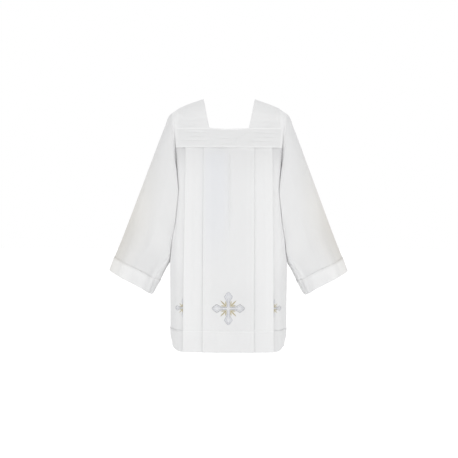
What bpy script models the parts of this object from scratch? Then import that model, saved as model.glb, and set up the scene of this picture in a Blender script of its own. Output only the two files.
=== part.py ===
"""A square-necked surplice, worn and hollow, as cut pieces of cloth 0.3 mm apart at their seams.

Metres, +Z up. The front faces -Y and the wearer's left is +X. The origin is midway between the
two shoulders, at the height where the cloth rests on them beside the neck.
"""

import math
from collections import namedtuple

import bmesh
import bpy
import numpy as np
from mathutils import Vector

# --- Driving sizes -----------------------------------------------------------------------------
HEM_DROP = 0.967  # from the shoulders to the bottom edge
HEM_SEAM_DROP = 0.887  # top of the deep hem
BAND_TOP_DROP = 0.123  # top edge of the chest band, which is also the square neckline
BAND_BOTTOM_DROP = 0.196
NECK_DIP = 0.004  # how far the neckline sags at its middle
NECK_HALF_AT_BAND = 0.075
NECK_HALF_AT_RIDGE = 0.100
ARMHOLE_TOP_DROP = 0.046
UNDERARM_DROP = 0.353
ARMHOLE_HALF_DEPTH = 0.103
ARMHOLE_SQUARENESS = 2.6  # 2 is an ellipse, and more is squarer

PANEL_WALL = 0.0010
SHOULDER_WALL = 0.0014
BAND_WALL = 0.0020
SLEEVE_WALL = 0.0012
CUFF_WALL = 0.0018
HEM_WALL = 0.0015
SEAM_WALL = 0.0014  # every wall's thickness where it meets the armhole seam
SEAM_GAP = 0.00035
ARMHOLE_GAP = 0.0004  # along X, so that it is about a seam gap across the slanting rims

# Two knife pleats on each side of the middle, with their folded edges facing the sides.
PLEAT_PITCH = 0.0022  # from one layer's middle to the next
PLEAT_UNDERLAP = 0.030
INNER_FOLD = 0.0963
OUTER_FOLD_AT_TOP = 0.1636
OUTER_FOLD_AT_HEM = 0.1725

CREASE_DEPTH = 0.0045  # soft trough down the middle of the panel, below the band
CREASE_HALF_WIDTH = 0.018
CREASE_END_DROP = 0.56

HEM_SIDE_LIFT = 0.022  # how much higher the bottom edge is at the side seams
HEM_SIDE_TUCK = 0.008  # how far it turns in there
HEM_SIDE_FLAT = 0.07  # distance from the side seam over which it does both fully
HEM_SIDE_REACH = 0.16  # and where it starts

# --- Short tables ------------------------------------------------------------------------------
Section = namedtuple("Section", "drop half_depth squareness")
TORSO_SECTIONS = [
    Section(0.123, 0.1120, 6.0),
    Section(0.196, 0.1230, 6.0),
    Section(0.300, 0.1300, 5.0),
    Section(0.353, 0.1335, 4.6),
    Section(0.450, 0.1385, 4.0),
    Section(0.650, 0.1470, 4.0),
    Section(0.967, 0.1560, 4.0),
]

Side = namedtuple("Side", "drop half_width")
ARMHOLE_SIDES = [
    Side(0.046, 0.2060),
    Side(0.070, 0.2080),
    Side(0.100, 0.2070),
    Side(0.123, 0.2050),
    Side(0.196, 0.1990),
    Side(0.300, 0.1915),
    Side(0.353, 0.1880),
]
TORSO_SIDES = [
    Side(0.353, 0.1880),
    Side(0.405, 0.1940),
    Side(0.462, 0.2010),
    Side(0.532, 0.2115),
    Side(0.612, 0.2203),
    Side(0.690, 0.2230),
    Side(0.800, 0.2230),
    Side(0.967, 0.2230),
]

# A sleeve's rings: where each one's outer and inner ends lie, its half depth, how far its
# front and back lean in towards the armhole, and how square it is.
Ring = namedtuple("Ring", "outer_x outer_drop inner_x inner_drop half_depth lean squareness")
SLEEVE_RINGS = [
    Ring(0.2180, 0.0540, 0.1912, 0.3562, 0.1075, 0.0050, 2.60),
    Ring(0.2298, 0.0635, 0.1938, 0.3605, 0.1125, 0.0100, 2.60),
    Ring(0.2380, 0.0770, 0.1958, 0.3680, 0.1165, 0.0125, 2.60),
    Ring(0.2462, 0.1010, 0.1974, 0.3790, 0.1200, 0.0140, 2.60),
    Ring(0.2630, 0.1420, 0.1994, 0.3960, 0.1225, 0.0160, 2.55),
    Ring(0.2860, 0.2005, 0.2030, 0.4230, 0.1215, 0.0190, 2.50),
    Ring(0.3130, 0.2705, 0.2085, 0.4600, 0.1165, 0.0230, 2.45),
    Ring(0.3415, 0.3445, 0.2145, 0.5050, 0.1090, 0.0260, 2.45),
    Ring(0.3740, 0.4285, 0.2212, 0.5570, 0.1005, 0.0260, 2.45),
    Ring(0.4046, 0.5080, 0.2300, 0.6215, 0.0925, 0.0180, 2.40),
    Ring(0.4282, 0.5695, 0.2480, 0.6645, 0.0860, 0.0060, 2.30),
    Ring(0.4457, 0.6145, 0.2672, 0.7039, 0.0815, 0.0000, 2.20),
]
CUFF_END = Ring(0.4635, 0.6650, 0.2945, 0.7558, 0.0790, 0.0000, 2.20)

# Soft folds down a sleeve: the angle round it (0 is its outer edge and 90 its front), half
# width, depth, and the drops of the ring middles where each one starts and is deepest.
SleeveFold = namedtuple("SleeveFold", "angle half_width depth start_drop full_drop")
SLEEVE_FOLDS = [
    SleeveFold(48, 20, 0.0050, 0.30, 0.62),
    SleeveFold(104, 22, 0.0060, 0.26, 0.56),
    SleeveFold(-62, 20, 0.0050, 0.32, 0.60),
    SleeveFold(-118, 22, 0.0055, 0.28, 0.58),
]

# Angles round the armhole from the shoulder point (0) to the underarm (180), apart from the
# ones at the chest band's two edges, which are worked out.
SHOULDER_ANGLES = [0, 12, 24, 36, 48]
LOWER_ANGLES = [105, 120, 135, 150, 165, 180]
PANEL_DROPS = [0.440, 0.540, 0.640, 0.760]
HEM_ROWS = 3
CUFF_ROWS = 2
SHOULDER_COLUMNS = 8
BAND_COLUMNS = 11  # from the middle to the armhole
SIDE_COLUMNS = 8  # from the outermost fold to the side seam


# --- Curves ------------------------------------------------------------------------------------
def smooth_through(keys, values, at):
    """A smooth curve through (key, value) pairs, read at one key."""
    keys = np.asarray(keys, float)
    values = np.asarray(values, float)
    slopes = np.gradient(values, keys)
    at = min(max(at, keys[0]), keys[-1])
    i = min(int(np.searchsorted(keys, at, side="right")) - 1, len(keys) - 2)
    step = keys[i + 1] - keys[i]
    t = (at - keys[i]) / step
    return (
        (1 + 2 * t) * (1 - t) ** 2 * values[i]
        + t * (1 - t) ** 2 * step * slopes[i]
        + t * t * (3 - 2 * t) * values[i + 1]
        + t * t * (t - 1) * step * slopes[i + 1]
    )


def table_value(table, name, drop):
    return smooth_through([row.drop for row in table], [getattr(row, name) for row in table], drop)


def ease(t):
    """0 below 0, 1 above 1, and smooth between."""
    t = min(max(t, 0.0), 1.0)
    return t * t * (3 - 2 * t)


def signed_power(value, power):
    return math.copysign(abs(value) ** power, value)


def bell(distance, half_width):
    """1 at no distance, falling smoothly to 0 at the half width."""
    return 1 - ease(abs(distance) / half_width)


# --- The armhole -------------------------------------------------------------------------------
def armhole(angle):
    """The seam between body and sleeve on the +X side. 0 is its top, and 90 its front."""
    turn = math.radians(angle)
    power = 2 / ARMHOLE_SQUARENESS
    half_height = (UNDERARM_DROP - ARMHOLE_TOP_DROP) / 2
    drop = ARMHOLE_TOP_DROP + half_height * (1 - signed_power(math.cos(turn), power))
    y = -ARMHOLE_HALF_DEPTH * signed_power(math.sin(turn), power)
    return Vector((table_value(ARMHOLE_SIDES, "half_width", drop), y, -drop))


def armhole_angle(drop):
    """The front angle at which the armhole reaches a drop."""
    half_height = (UNDERARM_DROP - ARMHOLE_TOP_DROP) / 2
    share = 1 - (drop - ARMHOLE_TOP_DROP) / half_height
    return math.degrees(math.acos(signed_power(share, ARMHOLE_SQUARENESS / 2)))


def armhole_rim(angle):
    """Half of the seam's cut across the wall at the armhole, which body and sleeve share. Below,
    where the two turn back on each other, it is a long mitre."""
    turn = math.radians(angle)
    c, s = math.cos(turn), math.sin(turn)
    top, under = max(c, 0.0), max(-c, 0.0)
    rim = Vector((0.55 * top * top - 0.29 * s * s + 0.35 * under**4, -s, 0.85 * c)).normalized()
    return rim * (SEAM_WALL / 2 * (1 + 0.7 * under**3))


BAND_TOP_ANGLE = armhole_angle(BAND_TOP_DROP)
BAND_BOTTOM_ANGLE = armhole_angle(BAND_BOTTOM_DROP)
BAND_ANGLES = [BAND_TOP_ANGLE, (BAND_TOP_ANGLE + BAND_BOTTOM_ANGLE) / 2, BAND_BOTTOM_ANGLE]
FRONT_ANGLES = SHOULDER_ANGLES + BAND_ANGLES + LOWER_ANGLES
RING_ANGLES = FRONT_ANGLES + [-angle for angle in FRONT_ANGLES[-2:0:-1]]


# --- The torso ---------------------------------------------------------------------------------
class TorsoSection:
    """The level outline of the body's front half on the +X side, from its middle to its edge."""

    FINE = 240

    def __init__(self, drop):
        half_depth = table_value(TORSO_SECTIONS, "half_depth", drop)
        squareness = table_value(TORSO_SECTIONS, "squareness", drop)
        if drop < UNDERARM_DROP:
            edge = armhole(armhole_angle(drop))
            share = (1 - abs(edge.y / half_depth) ** squareness) ** (1 / squareness)
            half_width = edge.x / share
            last = abs(edge.y) / half_depth
        else:
            half_width = table_value(TORSO_SIDES, "half_width", drop)
            last = 0.0
        end = math.acos(last ** (squareness / 2))
        turn = np.linspace(0, end, self.FINE)
        power = 2 / squareness
        self.x = half_width * np.abs(np.sin(turn)) ** power
        self.y = -half_depth * np.abs(np.cos(turn)) ** power
        steps = np.hypot(np.diff(self.x), np.diff(self.y))
        self.along = np.concatenate([[0.0], np.cumsum(steps)])
        self.length = float(self.along[-1])

    def point(self, distance):
        return (
            float(np.interp(distance, self.along, self.x)),
            float(np.interp(distance, self.along, self.y)),
        )

    def inward(self, distance):
        """The unit direction into the garment at a distance from the middle."""
        near, far = self.point(max(0.0, distance - 0.002)), self.point(distance + 0.002)
        dx, dy = far[0] - near[0], far[1] - near[1]
        size = math.hypot(dx, dy)
        return -dy / size, dx / size


def turned_fold(edge, depth, facing):
    """The points round one folded edge, as (distance, depth); facing is 1 for an edge that
    faces the side seam, and -1 for one that faces the middle."""
    p = PLEAT_PITCH
    back = 0.32 * p
    return [
        (edge - facing * back, depth),
        (edge, depth + 0.28 * p),
        (edge, depth + 0.72 * p),
        (edge - facing * back, depth + p),
    ]


def knife_pleat(start, edge, depth):
    """A panel from start to a folded edge facing the side seam, the turn under it, and the
    layer that comes out again, as (distance, depth). The three layers bend alike."""
    p = PLEAT_PITCH
    inner = edge - PLEAT_UNDERLAP
    middle = edge - PLEAT_UNDERLAP / 2
    panel = [(start, depth), (inner, depth), (middle, depth)]
    under = [(middle, depth + p)]
    out = [(middle, depth + 2 * p)]
    return panel + turned_fold(edge, depth, 1) + under + turned_fold(inner, depth + p, -1) + out


def pleated_path(drop, length):
    """The pleated cloth from the middle to the edge, as (distance along the outline, depth)."""
    p = PLEAT_PITCH
    share = (drop - BAND_BOTTOM_DROP) / (HEM_DROP - BAND_BOTTOM_DROP)
    outer_fold = OUTER_FOLD_AT_TOP + share * (OUTER_FOLD_AT_HEM - OUTER_FOLD_AT_TOP)
    path = [(0.0, 0.0), (0.1 * INNER_FOLD, 0.0), (0.2 * INNER_FOLD, 0.0)]
    path += knife_pleat(0.4 * INNER_FOLD, INNER_FOLD, 0.0)
    # The strip comes out from two layers down to lie level with the first panel.
    rise = 2 * p / (outer_fold - INNER_FOLD)
    strip = knife_pleat(0.5 * (INNER_FOLD + outer_fold - PLEAT_UNDERLAP), outer_fold, 0.0)
    path.append((INNER_FOLD, 2 * p))
    path += [(q, d + max(0.0, 2 * p - rise * (q - INNER_FOLD))) for q, d in strip]
    path.append((outer_fold, 2 * p))
    for step in range(1, SIDE_COLUMNS + 1):
        share = step / SIDE_COLUMNS
        path.append((outer_fold + share * (length - outer_fold), 2 * p * (1 - ease(1.6 * share))))
    return path


def side_weight(distance, length):
    """1 near the side seam, falling smoothly to 0 towards the panel's flat front."""
    return ease((HEM_SIDE_REACH - (length - distance)) / (HEM_SIDE_REACH - HEM_SIDE_FLAT))


def crease(distance, drop):
    """Depth of the soft trough down the middle."""
    fade = ease((CREASE_END_DROP - drop) / (CREASE_END_DROP - BAND_BOTTOM_DROP))
    return CREASE_DEPTH * fade * bell(distance, CREASE_HALF_WIDTH)


def pleated_half_row(drop, cut=0.0):
    """One row of a pleated piece, from the middle to the +X edge; cut lowers it at a seam."""
    section = TorsoSection(drop)
    row = []
    for distance, depth in pleated_path(drop, section.length):
        weight = side_weight(distance, section.length)
        near_hem = ease((drop - 0.85) / (HEM_DROP - 0.85))
        at_hem = ease((drop - 0.90) / (HEM_DROP - 0.90)) ** 2
        inset = depth + crease(distance, drop) + HEM_SIDE_TUCK * weight * at_hem
        x, y = section.point(distance)
        nx, ny = section.inward(distance)
        z = -drop - cut + HEM_SIDE_LIFT * weight * near_hem
        row.append(Vector((x + nx * inset, y + ny * inset, z)))
    if drop >= UNDERARM_DROP:
        row[-1].y = -SEAM_GAP / 2
    else:
        edge = armhole(armhole_angle(drop))
        row[-1] = Vector((edge.x, edge.y, -drop - cut))
    return row


def mirrored_row(half_row):
    """The whole row from the -X edge to the +X edge; the middle point isn't repeated."""
    return [Vector((-p.x, p.y, p.z)) for p in half_row[:0:-1]] + list(half_row)


def rim_at(drop):
    """Half of the cut across the wall at the +X edge of a front piece."""
    if drop >= UNDERARM_DROP:
        return Vector((PANEL_WALL / 2, 0.0, 0.0))
    return armhole_rim(armhole_angle(drop))


# --- Walls of cloth ----------------------------------------------------------------------------
def wall_offsets(grid, wall, ring):
    """Half the wall's thickness times its direction, at each point of a grid of points."""
    rows, columns = len(grid), len(grid[0])
    offsets = []
    for i in range(rows):
        line = []
        for j in range(columns):
            here = grid[i][j]
            if ring:
                before, after = grid[i][j - 1], grid[i][(j + 1) % columns]
            else:
                before, after = grid[i][max(j - 1, 0)], grid[i][min(j + 1, columns - 1)]
            first, second = (here - before), (after - here)
            first = first.normalized() if first.length > 0 else second.normalized()
            second = second.normalized() if second.length > 0 else first
            down = grid[min(i + 1, rows - 1)][j] - grid[max(i - 1, 0)][j]
            across = (first + second).normalized()
            direction = down.cross(across).normalized()
            stretch = 1 / max(0.75, math.sqrt((1 + first.dot(second)) / 2))
            line.append(direction * (wall / 2 * stretch))
        offsets.append(line)
    return offsets


def cloth(name, grid, wall, material, ring=False, rims=None, flip=False, level=()):
    """One closed wall of cloth on a grid of middle points. Where it meets another piece, rims
    gives the offsets, and the rows in level are cut level."""
    offsets = wall_offsets(grid, wall, ring)
    if flip:
        offsets = [[-offset for offset in line] for line in offsets]
    for i in level:
        for offset in offsets[i]:
            offset.z = 0.0
    for (i, j), offset in (rims or {}).items():
        offsets[i][j] = offset
    rows, columns = len(grid), len(grid[0])
    work = bmesh.new()
    outer = [[work.verts.new(grid[i][j] + offsets[i][j]) for j in range(columns)] for i in range(rows)]
    inner = [[work.verts.new(grid[i][j] - offsets[i][j]) for j in range(columns)] for i in range(rows)]
    last = columns if ring else columns - 1
    for i in range(rows - 1):
        for j in range(last):
            k = (j + 1) % columns
            work.faces.new((outer[i][j], outer[i][k], outer[i + 1][k], outer[i + 1][j]))
            work.faces.new((inner[i][j], inner[i + 1][j], inner[i + 1][k], inner[i][k]))
    for j in range(last):
        k = (j + 1) % columns
        work.faces.new((outer[0][k], outer[0][j], inner[0][j], inner[0][k]))
        work.faces.new((outer[-1][j], outer[-1][k], inner[-1][k], inner[-1][j]))
    if not ring:
        for i in range(rows - 1):
            work.faces.new((outer[i][0], outer[i + 1][0], inner[i + 1][0], inner[i][0]))
            work.faces.new((outer[i + 1][-1], outer[i][-1], inner[i][-1], inner[i + 1][-1]))
    bmesh.ops.recalc_face_normals(work, faces=work.faces)
    if work.calc_volume(signed=True) < 0:
        bmesh.ops.reverse_faces(work, faces=work.faces)
    mesh = bpy.data.meshes.new(name)
    work.to_mesh(mesh)
    work.free()
    mesh.materials.append(material)
    mesh.shade_smooth()
    mesh.set_sharp_from_angle(angle=math.radians(40))
    piece = bpy.data.objects.new(name, mesh)
    bpy.context.scene.collection.objects.link(piece)
    return piece


def turned_to_back(grid):
    """The same grid on the other side of the body, still running from -X to +X."""
    return [[Vector((p.x, -p.y, p.z)) for p in row] for row in grid]


def edge_rims(drops, facing):
    """The rim offsets down both edges of a piece whose rows lie at these drops; facing is 1 for
    the front and -1 for the back."""
    rims = {}
    for i, drop in enumerate(drops):
        rim = rim_at(drop)
        for column, side in ((0, -1), (-1, 1)):
            rims[i, column] = Vector((side * rim.x, facing * rim.y, rim.z))
    return rims


# --- Pieces ------------------------------------------------------------------------------------
def cloth_material(name, colour, roughness):
    material = bpy.data.materials.new(name)
    material.use_nodes = True
    shader = material.node_tree.nodes["Principled BSDF"]
    shader.inputs["Base Color"].default_value = (*colour, 1.0)
    shader.inputs["Roughness"].default_value = roughness
    shader.inputs["Metallic"].default_value = 0.0
    return material


def make_front_and_back(name, rows, drops, wall, material):
    for side, facing in (("front", 1), ("back", -1)):
        grid = rows if facing == 1 else turned_to_back(rows)
        rims = edge_rims(drops, facing)
        level = (0, len(rows) - 1)
        cloth(f"{name}_{side}", grid, wall, material, rims=rims, flip=facing == -1, level=level)


def make_bands(material):
    """The chest band and its twin across the back, from one armhole to the other."""
    drops = [-armhole(angle).z for angle in BAND_ANGLES]
    rows = []
    for i, (drop, cut) in enumerate(zip(drops, (SEAM_GAP / 2, 0.0, -SEAM_GAP / 2))):
        section = TorsoSection(drop)
        half_row = []
        for step in range(BAND_COLUMNS + 1):
            x, y = section.point(section.length * step / BAND_COLUMNS)
            dip = NECK_DIP * max(0.0, 1 - (x / NECK_HALF_AT_BAND) ** 2) if i == 0 else 0.0
            half_row.append(Vector((x, y, -drop - cut - dip)))
        rows.append(mirrored_row(half_row))
    make_front_and_back("chest_band", rows, drops, BAND_WALL, material)


def make_panels(material):
    """The pleated front and back, from the band to the deep hem."""
    upper = [-armhole(angle).z for angle in [BAND_BOTTOM_ANGLE] + LOWER_ANGLES]
    drops = upper + PANEL_DROPS + [HEM_SEAM_DROP]
    cuts = [SEAM_GAP / 2] + [0.0] * (len(drops) - 2) + [-SEAM_GAP / 2]
    rows = [mirrored_row(pleated_half_row(drop, cut)) for drop, cut in zip(drops, cuts)]
    make_front_and_back("panel", rows, drops, PANEL_WALL, material)


def make_hems(material):
    """The deep hem below each panel, pleated with it."""
    depth = HEM_DROP - HEM_SEAM_DROP
    drops = [HEM_SEAM_DROP + depth * step / HEM_ROWS for step in range(HEM_ROWS + 1)]
    cuts = [SEAM_GAP / 2] + [0.0] * HEM_ROWS
    rows = [mirrored_row(pleated_half_row(drop, cut)) for drop, cut in zip(drops, cuts)]
    make_front_and_back("hem", rows, drops, HEM_WALL, material)


def shoulder_rows():
    """Rows of a +X shoulder piece, each from the neck edge to the armhole, front to back."""
    band = TorsoSection(BAND_TOP_DROP)
    neck_y = band.point(NECK_HALF_AT_BAND)[1]
    edge = armhole(BAND_TOP_ANGLE)
    angles = [BAND_TOP_ANGLE] + SHOULDER_ANGLES[:0:-1]
    angles = angles + [0] + [-angle for angle in reversed(angles)]
    rows = []
    for angle in angles:
        turn = math.radians(90 * (1 - abs(angle) / BAND_TOP_ANGLE))
        rise, out = math.sin(turn), math.cos(turn) * (1 if angle >= 0 else -1)
        neck = Vector((
            NECK_HALF_AT_BAND + (NECK_HALF_AT_RIDGE - NECK_HALF_AT_BAND) * rise,
            neck_y * out,
            -BAND_TOP_DROP * (1 - rise),
        ))
        end = armhole(angle)
        row = []
        for step in range(SHOULDER_COLUMNS + 1):
            share = step / SHOULDER_COLUMNS
            chord = neck.lerp(end, share)
            # The crown is what the band's outline has over a straight line, so the two match.
            flat_x = NECK_HALF_AT_BAND + share * (edge.x - NECK_HALF_AT_BAND)
            flat_y = neck_y + share * (edge.y - neck_y)
            crown = flat_y - float(np.interp(flat_x, band.x, band.y))
            row.append(chord + crown * Vector((0.0, -out, rise)))
        rows.append(row)
    for row in (rows[0], rows[-1]):
        for p in row:
            p.z += SEAM_GAP / 2
    return rows, angles


def make_shoulders(material):
    """The two pieces that go over the shoulders, from the front band to the back one."""
    rows, angles = shoulder_rows()
    for name, side in (("shoulder_left", 1), ("shoulder_right", -1)):
        grid = [[Vector((side * p.x, p.y, p.z)) for p in row] for row in rows]
        rims = {}
        for i, angle in enumerate(angles):
            rim = armhole_rim(angle)
            rims[i, -1] = Vector((side * rim.x, rim.y, rim.z))
        level = (0, len(rows) - 1)
        cloth(name, grid, SHOULDER_WALL, material, rims=rims, flip=side == 1, level=level)


def sleeve_point(ring, angle, side):
    """A point of a sleeve's ring; side is 1 for the wearer's left."""
    turn = math.radians(angle)
    power = 2 / ring.squareness
    outer = Vector((ring.outer_x, 0.0, -ring.outer_drop))
    inner = Vector((ring.inner_x, 0.0, -ring.inner_drop))
    middle, half = (outer + inner) / 2, (outer - inner) / 2
    across, forward = signed_power(math.cos(turn), power), signed_power(math.sin(turn), power)
    point = middle + half * across + Vector((0.0, -ring.half_depth * forward, 0.0))
    point.x -= ring.lean * abs(math.sin(turn)) ** 1.6
    for fold in SLEEVE_FOLDS:
        depth = fold.depth * ease((-middle.z - fold.start_drop) / (fold.full_drop - fold.start_drop))
        gap = (angle - fold.angle + 180) % 360 - 180
        point += (middle - point).normalized() * (depth * bell(gap, fold.half_width))
    return Vector((side * point.x, point.y, point.z))


def blended_ring(first, second, share):
    return Ring(*(a + share * (b - a) for a, b in zip(first, second)))


def make_sleeves(sleeve_material, cuff_material):
    """The wide sleeves, open at both ends, and the deep cuffs on them."""
    cuff_length = math.hypot(CUFF_END.outer_x - SLEEVE_RINGS[-1].outer_x,
                             CUFF_END.outer_drop - SLEEVE_RINGS[-1].outer_drop)
    cuff_start = blended_ring(SLEEVE_RINGS[-1], CUFF_END, SEAM_GAP / cuff_length)
    cuff_rings = [blended_ring(cuff_start, CUFF_END, step / CUFF_ROWS) for step in range(CUFF_ROWS + 1)]
    for name, side in (("left", 1), ("right", -1)):
        seam = []
        for angle in RING_ANGLES:
            p = armhole(angle)
            seam.append(Vector((side * (p.x + ARMHOLE_GAP), p.y, p.z)))
        grid = [seam] + [[sleeve_point(ring, a, side) for a in RING_ANGLES] for ring in SLEEVE_RINGS]
        rims = {}
        for j, angle in enumerate(RING_ANGLES):
            rim = armhole_rim(angle)
            rims[0, j] = Vector((side * rim.x, rim.y, rim.z))
        cloth(f"sleeve_{name}", grid, SLEEVE_WALL, sleeve_material, ring=True, rims=rims, flip=side == 1)
        grid = [[sleeve_point(ring, a, side) for a in RING_ANGLES] for ring in cuff_rings]
        cloth(f"cuff_{name}", grid, CUFF_WALL, cuff_material, ring=True, flip=side == 1)


def main():
    for old in list(bpy.data.objects):
        bpy.data.objects.remove(old)
    plain = cloth_material("white_cloth", (0.86, 0.87, 0.88), 0.75)
    doubled = cloth_material("doubled_white_cloth", (0.89, 0.90, 0.90), 0.75)
    make_bands(doubled)
    make_shoulders(plain)
    make_panels(plain)
    make_hems(doubled)
    make_sleeves(plain, doubled)


main()
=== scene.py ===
"""The finish of a square-necked surplice: fine cloth with its folds, stitching and embroidery.

Metres, +Z up, in the packed frame. The front faces -Y and the wearer's left is +X.
"""

import math
from collections import namedtuple

import bpy
import numpy as np
from bpy.props import FloatProperty, FloatVectorProperty, PointerProperty
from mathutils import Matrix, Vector


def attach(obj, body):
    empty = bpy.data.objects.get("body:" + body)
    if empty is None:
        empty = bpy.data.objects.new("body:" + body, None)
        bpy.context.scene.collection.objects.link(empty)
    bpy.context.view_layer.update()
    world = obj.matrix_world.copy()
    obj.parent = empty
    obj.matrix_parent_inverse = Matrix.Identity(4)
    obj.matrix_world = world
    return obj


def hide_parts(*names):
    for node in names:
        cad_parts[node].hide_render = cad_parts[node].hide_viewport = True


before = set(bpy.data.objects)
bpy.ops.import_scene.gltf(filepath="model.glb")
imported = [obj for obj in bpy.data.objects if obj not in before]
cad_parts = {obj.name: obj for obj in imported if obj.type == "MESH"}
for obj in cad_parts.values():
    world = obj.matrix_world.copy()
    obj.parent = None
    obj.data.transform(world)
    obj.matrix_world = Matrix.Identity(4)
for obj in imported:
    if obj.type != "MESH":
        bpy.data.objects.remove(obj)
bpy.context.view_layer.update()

bl_info = {
    "name": "Surplice",
    "version": (1, 0, 0),
    "blender": (4, 5, 0),
    "location": "View3D > Sidebar > Surplice",
    "description": "Makes a white surplice: cloth, folds, stitching, embroidered crosses and stage",
    "category": "Object",
}

BODY = "root"

# --- The garment's sizes, in its own frame -------------------------------------------------------
HEM_DROP = 0.967  # from the shoulders to the bottom edge
HEM_SEAM_DROP = 0.887
BAND_TOP_DROP = 0.123
BAND_BOTTOM_DROP = 0.196
NECK_DIP = 0.004
NECK_HALF_AT_BAND = 0.075
NECK_HALF_AT_RIDGE = 0.100
ARMHOLE_TOP_DROP = 0.046
UNDERARM_DROP = 0.353
ARMHOLE_HALF_DEPTH = 0.103
ARMHOLE_SQUARENESS = 2.6

INNER_FOLD = 0.0963  # how far each pleat's folded edge lies from the middle
OUTER_FOLD_AT_TOP = 0.1636
OUTER_FOLD_AT_HEM = 0.1725

HEM_SIDE_LIFT = 0.022
HEM_SIDE_TUCK = 0.008
HEM_SIDE_FLAT = 0.07
HEM_SIDE_REACH = 0.16

STITCH_INSET = 0.0032  # from a finished edge to the row of stitches beside it
GROOVE_HALF_WIDTH = 0.0011
SEAM_TUCK = 0.0055  # how deep the cloth dips in at the front and back of the armholes
SEAM_TUCK_REACH = 0.005
TUCK_UNDER_BAND = 0.006  # how far the pieces below and above it run in behind the band

# How far apart a piece's rows or columns lie in its middle and near its edges, and how far in from
# the edges they lie close. The shoulders' are shares of their width.
Spacing = namedtuple("Spacing", "coarse fine reach")
BAND_ROWS = Spacing(0.0016, 0.0008, 0.0064)
SHOULDER_COLUMNS = Spacing(0.030, 0.007, 0.042)
PANEL_ROWS = Spacing(0.0088, 0.0012, 0.0072)
HEM_ROWS = Spacing(0.0040, 0.0008, 0.0048)  # the cuffs' too
SLEEVE_ROWS = Spacing(0.0058, 0.0010, 0.0060)

# How strongly something shows along a piece: from where and over what width it comes in, and from
# where and over what width it goes again. Without them it is there from the start, or to the end.
FAR = 1000.0
Stretch = namedtuple("Stretch", "strength start come end go", defaults=(1.0, -FAR, 1.0, FAR, 1.0))

Section = namedtuple("Section", "drop half_depth squareness")
TORSO_SECTIONS = [
    Section(0.123, 0.1120, 6.0),
    Section(0.196, 0.1230, 8.4),
    Section(0.300, 0.1300, 11.5),
    Section(0.353, 0.1335, 11.5),
    Section(0.450, 0.1385, 9.4),
    Section(0.650, 0.1470, 5.8),
    Section(0.967, 0.1560, 4.0),
]

Side = namedtuple("Side", "drop half_width")
ARMHOLE_SIDES = [
    Side(0.046, 0.2060),
    Side(0.070, 0.2080),
    Side(0.100, 0.2070),
    Side(0.123, 0.2090),
    Side(0.160, 0.2075),
    Side(0.196, 0.2045),
    Side(0.245, 0.2000),
    Side(0.300, 0.1972),
    Side(0.353, 0.1940),
]
TORSO_SIDES = [
    Side(0.353, 0.1940),
    Side(0.405, 0.1985),
    Side(0.462, 0.2040),
    Side(0.532, 0.2137),
    Side(0.612, 0.2195),
    Side(0.690, 0.2208),
    Side(0.800, 0.2210),
    Side(0.967, 0.2230),
]

# How far apart the layers of a pleat lie: pressed flat under the band, looser at the hem.
Pitch = namedtuple("Pitch", "drop pitch")
PLEAT_PITCHES = [Pitch(0.18, 0.0015), Pitch(0.40, 0.0019), Pitch(0.70, 0.0025), Pitch(0.967, 0.0031)]

Ring = namedtuple("Ring", "outer_x outer_drop inner_x inner_drop half_depth lean squareness")
SLEEVE_RINGS = [
    Ring(0.2180, 0.0540, 0.1960, 0.3562, 0.1075, 0.0010, 2.60),
    Ring(0.2298, 0.0635, 0.1962, 0.3605, 0.1125, 0.0050, 2.60),
    Ring(0.2380, 0.0770, 0.1964, 0.3680, 0.1165, 0.0080, 2.60),
    Ring(0.2462, 0.1010, 0.1966, 0.3790, 0.1200, 0.0105, 2.60),
    Ring(0.2625, 0.1420, 0.1972, 0.3960, 0.1240, 0.0140, 2.55),
    Ring(0.2849, 0.2005, 0.1988, 0.4230, 0.1245, 0.0190, 2.50),
    Ring(0.3110, 0.2705, 0.2036, 0.4600, 0.1215, 0.0230, 2.45),
    Ring(0.3388, 0.3445, 0.2101, 0.5050, 0.1155, 0.0260, 2.45),
    Ring(0.3704, 0.4285, 0.2174, 0.5570, 0.1075, 0.0260, 2.45),
    Ring(0.4002, 0.5080, 0.2262, 0.6215, 0.0980, 0.0180, 2.40),
    Ring(0.4242, 0.5695, 0.2480, 0.6645, 0.0885, 0.0060, 2.30),
    Ring(0.4437, 0.6145, 0.2672, 0.7039, 0.0815, 0.0000, 2.20),
]
CUFF_END = Ring(0.4635, 0.6650, 0.2945, 0.7558, 0.0790, 0.0000, 2.20)

INNER_SQUARENESS = 4.0  # how much squarer a sleeve's inner side is than its outer one
BODY_WRAP = 0.007  # how far a sleeve reaches round the body's corner
LYING_DISTANCE = 0.0019  # between the middles of two layers of cloth that lie together

SleeveFold = namedtuple("SleeveFold", "angle half_width depth start_drop full_drop")
SLEEVE_FOLDS = [
    SleeveFold(48, 20, 0.0050, 0.30, 0.62),
    SleeveFold(104, 22, 0.0060, 0.26, 0.56),
    SleeveFold(-62, 20, 0.0050, 0.32, 0.60),
    SleeveFold(-118, 22, 0.0055, 0.28, 0.58),
]

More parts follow.
